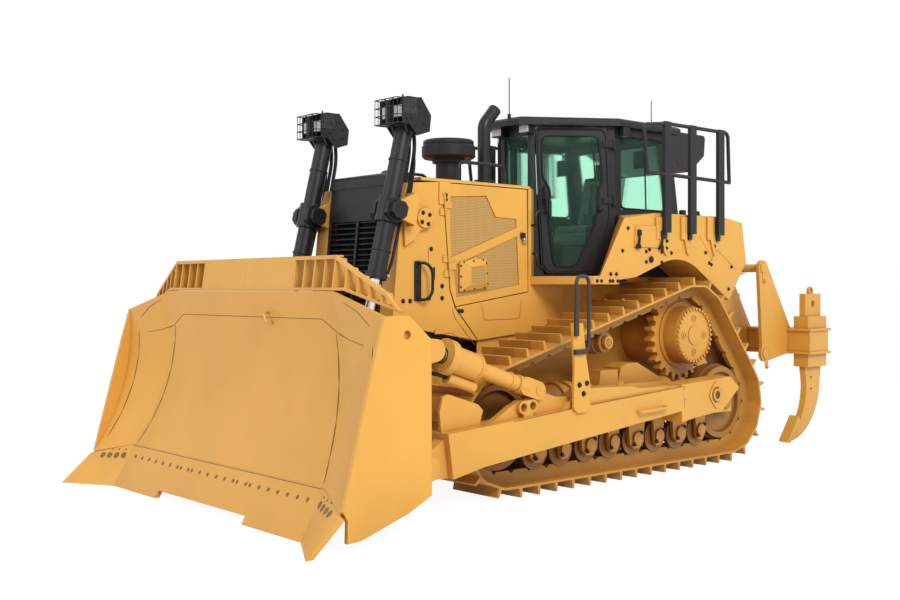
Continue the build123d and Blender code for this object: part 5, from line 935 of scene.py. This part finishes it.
# ---------------------------------------------------------------- push arms and blade
def arm_pieces():
    seams = Kit("arm_seams", "push_arms", "seam")
    path = ((1.60, 0.690), (0.697, 0.761), (-0.633, 0.845), (-0.646, 0.645))
    seams.seam([(x, ARM_Y, z) for x, z in path], OUT, 0.006)
    seams.done()
    bolts = Kit("arm_bolts", "push_arms", "plastic")
    bolts.bolts_on(["step_posts", "push_arms"], ((0.850, 0.945), (0.755, 0.955), (0.797, 0.868)), 2.2, 0.018)
    bolts.done()
    trim = Kit("arm_trim", "push_arms", "yellow", bevel=0.003)
    trim.turned((-0.678, ARM_Y - SINK, 0.774), OUT, [(0.058, 0), (0.058, 0.004), (0.052, 0.006)], 28)
    x, z = -1.144, 0.736                            # trunnion, with a four-lobed cap on it
    lobes = [(turn + step, share) for turn in (0, 90, 180, 270)
             for step, share in ((0, 1), (22, 0.86), (45, 0.80), (68, 0.86))]
    cap = [(x + 0.115 * sin(radians(a)) * share, z + 0.135 * cos(radians(a)) * share) for a, share in lobes]
    base = left_face(["push_arms"], x, 0.82, 2.2, ARM_Y)
    trim.plate(cap, base - SINK, base + 0.012)
    eye = [(0.062, 0), (0.062, 0.012), (0.040, 0.012), (0.040, 0.004)]
    trim.turned((x, base + 0.010, z), OUT, eye, 28, hollow=True)
    foot, out = ARM_Y - 0.004, ARM_Y + 0.05
    trim.tube([(0.05, foot, 0.66), (0.05, out, 0.655), (-0.34, out, 0.67), (-0.34, foot, 0.675)], 0.012, 0.03)
    trim.done()


def tilt_pieces():
    side, up = Vector(OUT), TILT_AXIS.cross(Vector(OUT))
    proud = 0.0005                                  # the clevis passes close by at full pitch
    tilt = Kit("tilt_bolts", "tilt_barrels", "yellow", bevel=0.001)
    for k in range(10):
        angle = 2 * pi * (k + 0.5) / 10
        ray = side * cos(angle) + up * sin(angle)
        tilt.turned(TILT_END + ray * 0.113, TILT_AXIS, [(0.016, -0.002), (0.016, proud)], 6)
        tilt.turned(TILT_END - TILT_AXIS * 0.075 + ray * 0.128, -TILT_AXIS, [(0.012, 0), (0.012, 0.012)], 6)
    tilt.ring(TILT_END - TILT_AXIS * 0.002, TILT_AXIS, 0.086, 0.066, 0.0025, 36)
    for distance, radius in ((0.300, 0.072), (0.700, 0.118)):
        band = [(radius, 0), (radius + 0.004, 0.008), (radius, 0.016)]
        tilt.turned(TILT_FOOT + TILT_AXIS * distance, TILT_AXIS, band, 36)
    tilt.done()
    gland = Kit("tilt_glands", "tilt_barrels", "plastic")
    gland.ring(TILT_END, TILT_AXIS, 0.066, 0.052, proud, 36, low=-0.003)
    gland.done()
    hose = Kit("tilt_hoses", "tilt_barrels", "rubber")
    start = TILT_FOOT + TILT_AXIS * 0.975
    down = Vector((TILT_AXIS.z, 0, -TILT_AXIS.x))
    hose.tube([start + down * 0.15, start + down * 0.15 + TILT_AXIS * 0.10,
               start + down * 0.16 + TILT_AXIS * 0.16 - side * 0.10,
               start + down * 0.10 + TILT_AXIS * 0.05 - side * 0.19], 0.017, 0.08)
    hose.done()


def blade_pieces():
    skin = ["moldboard", "cutting_edges", "end_bits", "spill_guard"]
    seams = Kit("blade_seams", "blade", "seam")
    for path in ([(0.0, 1.535), (0.35, 1.535), (0.75, 1.535), (1.08, 1.535), (1.28, 1.43), (1.45, 1.39),
                  (1.66, 1.36)],
                 [(1.245, 1.43), (1.262, 1.30), (1.30, 1.05), (1.345, 0.80), (1.40, 0.55), (1.46, 0.38)],
                 [(1.80, 1.36), (1.79, 1.15), (1.80, 0.90), (1.83, 0.62), (1.87, 0.40)],
                 [(0.0, 0.345), (0.5, 0.345), (1.0, 0.345), (1.48, 0.345)],
                 [(1.42, 1.66), (1.60, 1.60), (1.76, 1.50)]):
        seams.seam_on(skin, [(5, y, z) for y, z in path], BACK, 0.0055)
    seams.done()
    # Painted shade: dark discs stand for the bolt holes in the edges and end bits.
    bolts = Kit("edge_holes", "blade", "seam")
    for y in (0.07, 0.20, 0.33, 0.39, 0.52, 0.58, 0.71, 0.84, 0.97, 1.10, 1.23, 1.36):
        bolts.spot(["cutting_edges", "end_bits"], (5, y, 0.262), BACK, 0.017)
    holes = ((1.55, 0.255, 0.030), (1.63, 0.250, 0.030), (1.71, 0.245, 0.030), (1.79, 0.240, 0.030),
             (1.56, 0.305, 0.010), (1.64, 0.300, 0.010), (1.72, 0.298, 0.010), (1.80, 0.295, 0.010))
    for y, z, radius in holes:
        bolts.spot(["end_bits"], (5, y, z), BACK, radius)
    bolts.done()
    trim = Kit("blade_fittings", "blade", "yellow", side=1, bevel=0.002)
    found = touch(skin, (5, 0.36, 1.55), BACK)
    if found:
        x = found[0].x
        low, high = x - 0.004, x + 0.05
        hook = [(low, 0.33, 1.57), (high, 0.345, 1.57), (high, 0.375, 1.50), (low, 0.39, 1.49)]
        trim.tube(hook, 0.010, 0.02)
    trim.done()


def spill_guard_piece():
    """The guard as a welded frame: plain middle, rails and deep ribs between the openings."""
    guard = Kit("spill_guard_frame", "blade", "yellow", bevel=0.003)
    face_x, foot, top, bend = 3.158, 1.748, 2.013, 1.231
    lean = (face_x - 3.118) / (top - 1.746)

    def face(y, z):
        if y <= bend:
            return face_x - lean * (z - 1.746)
        return face_x - 0.2225 * (y - 1.225) - 0.1448 * (z - 1.746)

    def panel(corners, depth=0.020):
        guard.prism([(face(y, z) - SINK, y, z) for y, z in corners], (-depth, 0, 0))

    panel([(0.0, foot), (0.70, foot), (0.70, top), (0.0, top)])
    for low, high in ((foot, foot + 0.024), (top - 0.030, top)):
        panel([(0.70, low), (bend, low), (bend, high), (0.70, high)])
    panel([(bend, top - 0.034), (bend, top), (1.742, 1.737), (1.735, 1.705)], 0.024)
    panel([(1.735, 1.705), (1.742, 1.737), (1.885, 1.600), (1.855, 1.600)], 0.024)
    panel([(bend, foot), (bend, foot + 0.024), (1.345, foot + 0.024), (1.885, 1.612), (1.880, 1.594),
           (1.345, foot)])
    for y in (0.70, 0.83, 0.965, 1.10, 1.225, 1.345, 1.46, 1.575, 1.69):
        high = top - 0.01 if y <= bend else top - 0.02 - (y - bend) * (top - 1.737) / 0.511
        low = foot + 0.004 if y <= 1.345 else foot - (y - 1.345) * (foot - 1.594) / 0.535
        guard.prism([(face(y, low) - 0.004, y, low), (face(y, high) - 0.004, y, high),
                     (face(y, high) - 0.105, y, high - 0.015), (face(y, low) - 0.135, y, low)], (0, 0.014, 0))
    ledge = ((3.118, top - 0.014), (3.04, top - 0.014), (3.04, top), (3.118, top))
    guard.prism([(x, 0, z) for x, z in ledge], (0, bend, 0))
    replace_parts(guard.done(), "spill_guard")


# ---------------------------------------------------------------- undercarriage
def undercarriage_pieces():
    hub_x, hub_z = -1.221, 1.300
    face = left_face(["sprocket_left"], hub_x, hub_z + 0.16, 2.4)
    bolts = Kit("hub_bolts", "chassis", "cast_yellow")
    for k in range(34):
        angle = 2 * pi * k / 34
        place = (hub_x + 0.262 * cos(angle), face, hub_z + 0.262 * sin(angle))
        bolts.turned(place, OUT, [(0.016, -0.002), (0.016, 0.016), (0.012, 0.020)], 6)
    bolts.ring((hub_x, face - SINK, hub_z), OUT, 0.096, 0.084, 0.007, 40)
    for k in range(4):
        angle = pi / 2 * k
        x, z = hub_x + 0.165 * cos(angle), hub_z + 0.165 * sin(angle)
        bolts.ring((x, face - SINK, z), OUT, 0.036, 0.026, 0.007, 24)
        bolts.turned((x, face - SINK, z), OUT, [(0.012, 0), (0.012, 0.008)], 6)
    bolts.done()
    dark = Kit("roller_bolts", "chassis", "plastic")
    covers = Kit("roller_covers", "chassis", "cast_yellow", bevel=0.002)
    roller_z = 0.345
    for x in (0.955, 0.622, 0.289, -0.044, -0.377, -0.710, -1.043, -1.376):
        y = left_face(["track_rollers_left", "track_frame_left"], x, roller_z, 2.4)
        if y is None:
            continue
        covers.turned((x, y - 0.002, roller_z), OUT, [(0.062, 0), (0.062, 0.012), (0.046, 0.016)], 28)
        for dx, dz in ((0.052, -0.052), (-0.052, 0.052)):
            dark.turned((x + dx, y, roller_z + dz), OUT, [(0.019, -0.002), (0.019, 0.014), (0.014, 0.018)], 6)
    covers.done()
    dark.done()
    shoe = Kit("shoe_bolts", "chassis", "worn")
    for k in range(13):
        x = 1.25 - k * 0.19
        for y in (0.93, 1.15):
            found = touch(["track_left"], (x, y, 3.0), DOWN)
            if found and found[0].z > 0.9:
                shoe.turned(found[0], found[1], [(0.017, -0.002), (0.017, 0.012), (0.012, 0.015)], 6)
    shoe.done()


# ---------------------------------------------------------------- ripper
def ripper_pieces():
    pins = Kit("ripper_pin_caps", "ripper_frame", "yellow", bevel=0.003)
    bolts = Kit("ripper_bolts", "ripper_frame", "worn", "yellow_paint")
    radius = 0.062
    for x, z in ((-2.960, 1.995), (-3.009, 1.034)):
        y = left_face(["ripper_toolbar"], x + 0.055, z, 2.2, 0.93)
        pins.turned((x, y - SINK, z), OUT, [(radius, 0), (radius, 0.012), (radius - 0.008, 0.016)], 28)
        keeper = [(x - 0.03, z + 0.02), (x + 0.03, z + 0.02), (x + 0.02, z - 0.17), (x - 0.04, z - 0.17)]
        pins.plate(keeper, y - SINK, y + 0.008)
        bolts.bolt((x - 0.010, y + 0.008, z - 0.145), OUT, 0.016)
    pins.done()
    for y in (1.09, 0.0):
        for z in (1.20, 1.12):
            bolts.bolt_on(["ripper_toolbar", "ripper_shanks"], (-5.0, y + 0.07, z), FORWARD, 0.014)
    bolts.done()
    tips = Kit("tip_pins", "ripper_frame", "seam", side=1)
    for y in (-1.09, 0.0, 1.09):
        for z in (0.75, 0.62):
            found = touch(["ripper_shanks"], (-3.62, y + 0.5, z), INWARD)
            if found:
                tips.turned(found[0], OUT, [(0.014, -SINK), (0.014, 0.003)], 14)
    tips.done()
    hose = Kit("ripper_hoses", "chassis", "rubber")
    route = [(-1.95, 0.56, 1.62), (-2.05, 0.60, 1.70), (-2.12, 0.63, 1.55), (-2.06, 0.63, 1.42)]
    hose.tube(route, 0.018, 0.06)
    hose.done()


# ---------------------------------------------------------------- seat cushions
SWELL, VOXEL, CLOTH_STEPS = 0.024, 0.0068, 20


def cushion(name, low, high, lean=0.0):
    """Upholstered block: an even mesh, blown up by a short cloth run, then smoothed."""
    builder = bmesh.new()
    bmesh.ops.create_cube(builder, size=1.0)
    for vertex in builder.verts:
        for axis in range(3):
            vertex.co[axis] = (low[axis] + high[axis]) / 2 + vertex.co[axis] * (high[axis] - low[axis])
        vertex.co.x += lean * (vertex.co.z - low[2])
    bmesh.ops.bevel(builder, geom=builder.edges[:], offset=0.026, segments=3, affect="EDGES", profile=0.6)
    mesh = bpy.data.meshes.new(name)
    builder.to_mesh(mesh)
    builder.free()
    piece = bpy.data.objects.new(name, mesh)
    bpy.context.scene.collection.objects.link(piece)
    settle(piece, "REMESH")
    rest = [vertex.co.copy() for vertex in piece.data.vertices]
    settle(piece, "CLOTH")
    for vertex, start in zip(piece.data.vertices, rest):
        moved = vertex.co - start
        if moved.length > SWELL:
            vertex.co = start + moved.normalized() * SWELL
    settle(piece, "SUBSURF")
    piece.data.materials.append(MATERIALS["fabric"])
    piece.data.polygons.foreach_set("use_smooth", [True] * len(piece.data.polygons))
    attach(piece, "chassis")


def settle(piece, kind):
    """Applies one modifier to the piece and keeps its result as the mesh."""
    modifier = piece.modifiers.new(kind.lower(), kind)
    scene = bpy.context.scene
    if kind == "REMESH":
        modifier.mode, modifier.voxel_size = "VOXEL", VOXEL
    if kind == "CLOTH":
        cloth = modifier.settings
        cloth.effector_weights.gravity = 0.0
        cloth.use_pressure = True
        cloth.uniform_pressure_force = 4.0
        cloth.tension_stiffness = cloth.compression_stiffness = 30.0
        modifier.point_cache.frame_start, modifier.point_cache.frame_end = 1, CLOTH_STEPS
        for step in range(1, CLOTH_STEPS + 1):
            scene.frame_set(step)
    made = bpy.data.meshes.new_from_object(piece.evaluated_get(bpy.context.evaluated_depsgraph_get()))
    piece.modifiers.clear()
    piece.data = made
    if kind == "CLOTH":
        scene.frame_set(1)


def seat_pieces():
    cushion("seat_cushion", (-1.150, -0.240, 2.335), (-0.770, 0.240, 2.405))
    cushion("seat_backrest", (-1.190, -0.225, 2.420), (-1.125, 0.225, 2.940), -0.206)
    welt = Kit("seat_welts", "chassis", "rubber", side=1)
    for y in (-0.13, 0.13):
        welt.tube([(-1.10, y, 2.405), (-0.82, y, 2.405)], 0.004, 0.02, 6)
    welt.done()


# ---------------------------------------------------------------- all together
def dress_nodes():
    for key, names in NODE_MATERIAL.items():
        for name in names:
            if name not in NODES:
                continue
            mesh = NODES[name].data
            mesh.materials.clear()
            mesh.materials.append(MATERIALS[key])
            mesh.set_sharp_from_angle(angle=radians(30))


make_camera()
make_world(0.50)
make_floor()
area_light("key", (5, 16, 13), (0, 0, 1.5), 8, 2250)
area_light("fill", (16, -3, 8), (0, 0, 1.5), 8, 380)
for make in (dress_nodes, nose_pieces, hood_pieces, lift_pieces, lamp_pieces, cab_pieces, fender_pieces,
             arm_pieces, tilt_pieces, blade_pieces, spill_guard_piece, undercarriage_pieces, ripper_pieces,
             seat_pieces):
    make()
for side, sign in (("left", 1), ("right", -1)):
    engine_door_pieces(side, sign)
    cab_door_pieces(side, sign)

# ---------------------------------------------------------------- end
bpy.context.scene.view_settings.view_transform = "Standard"
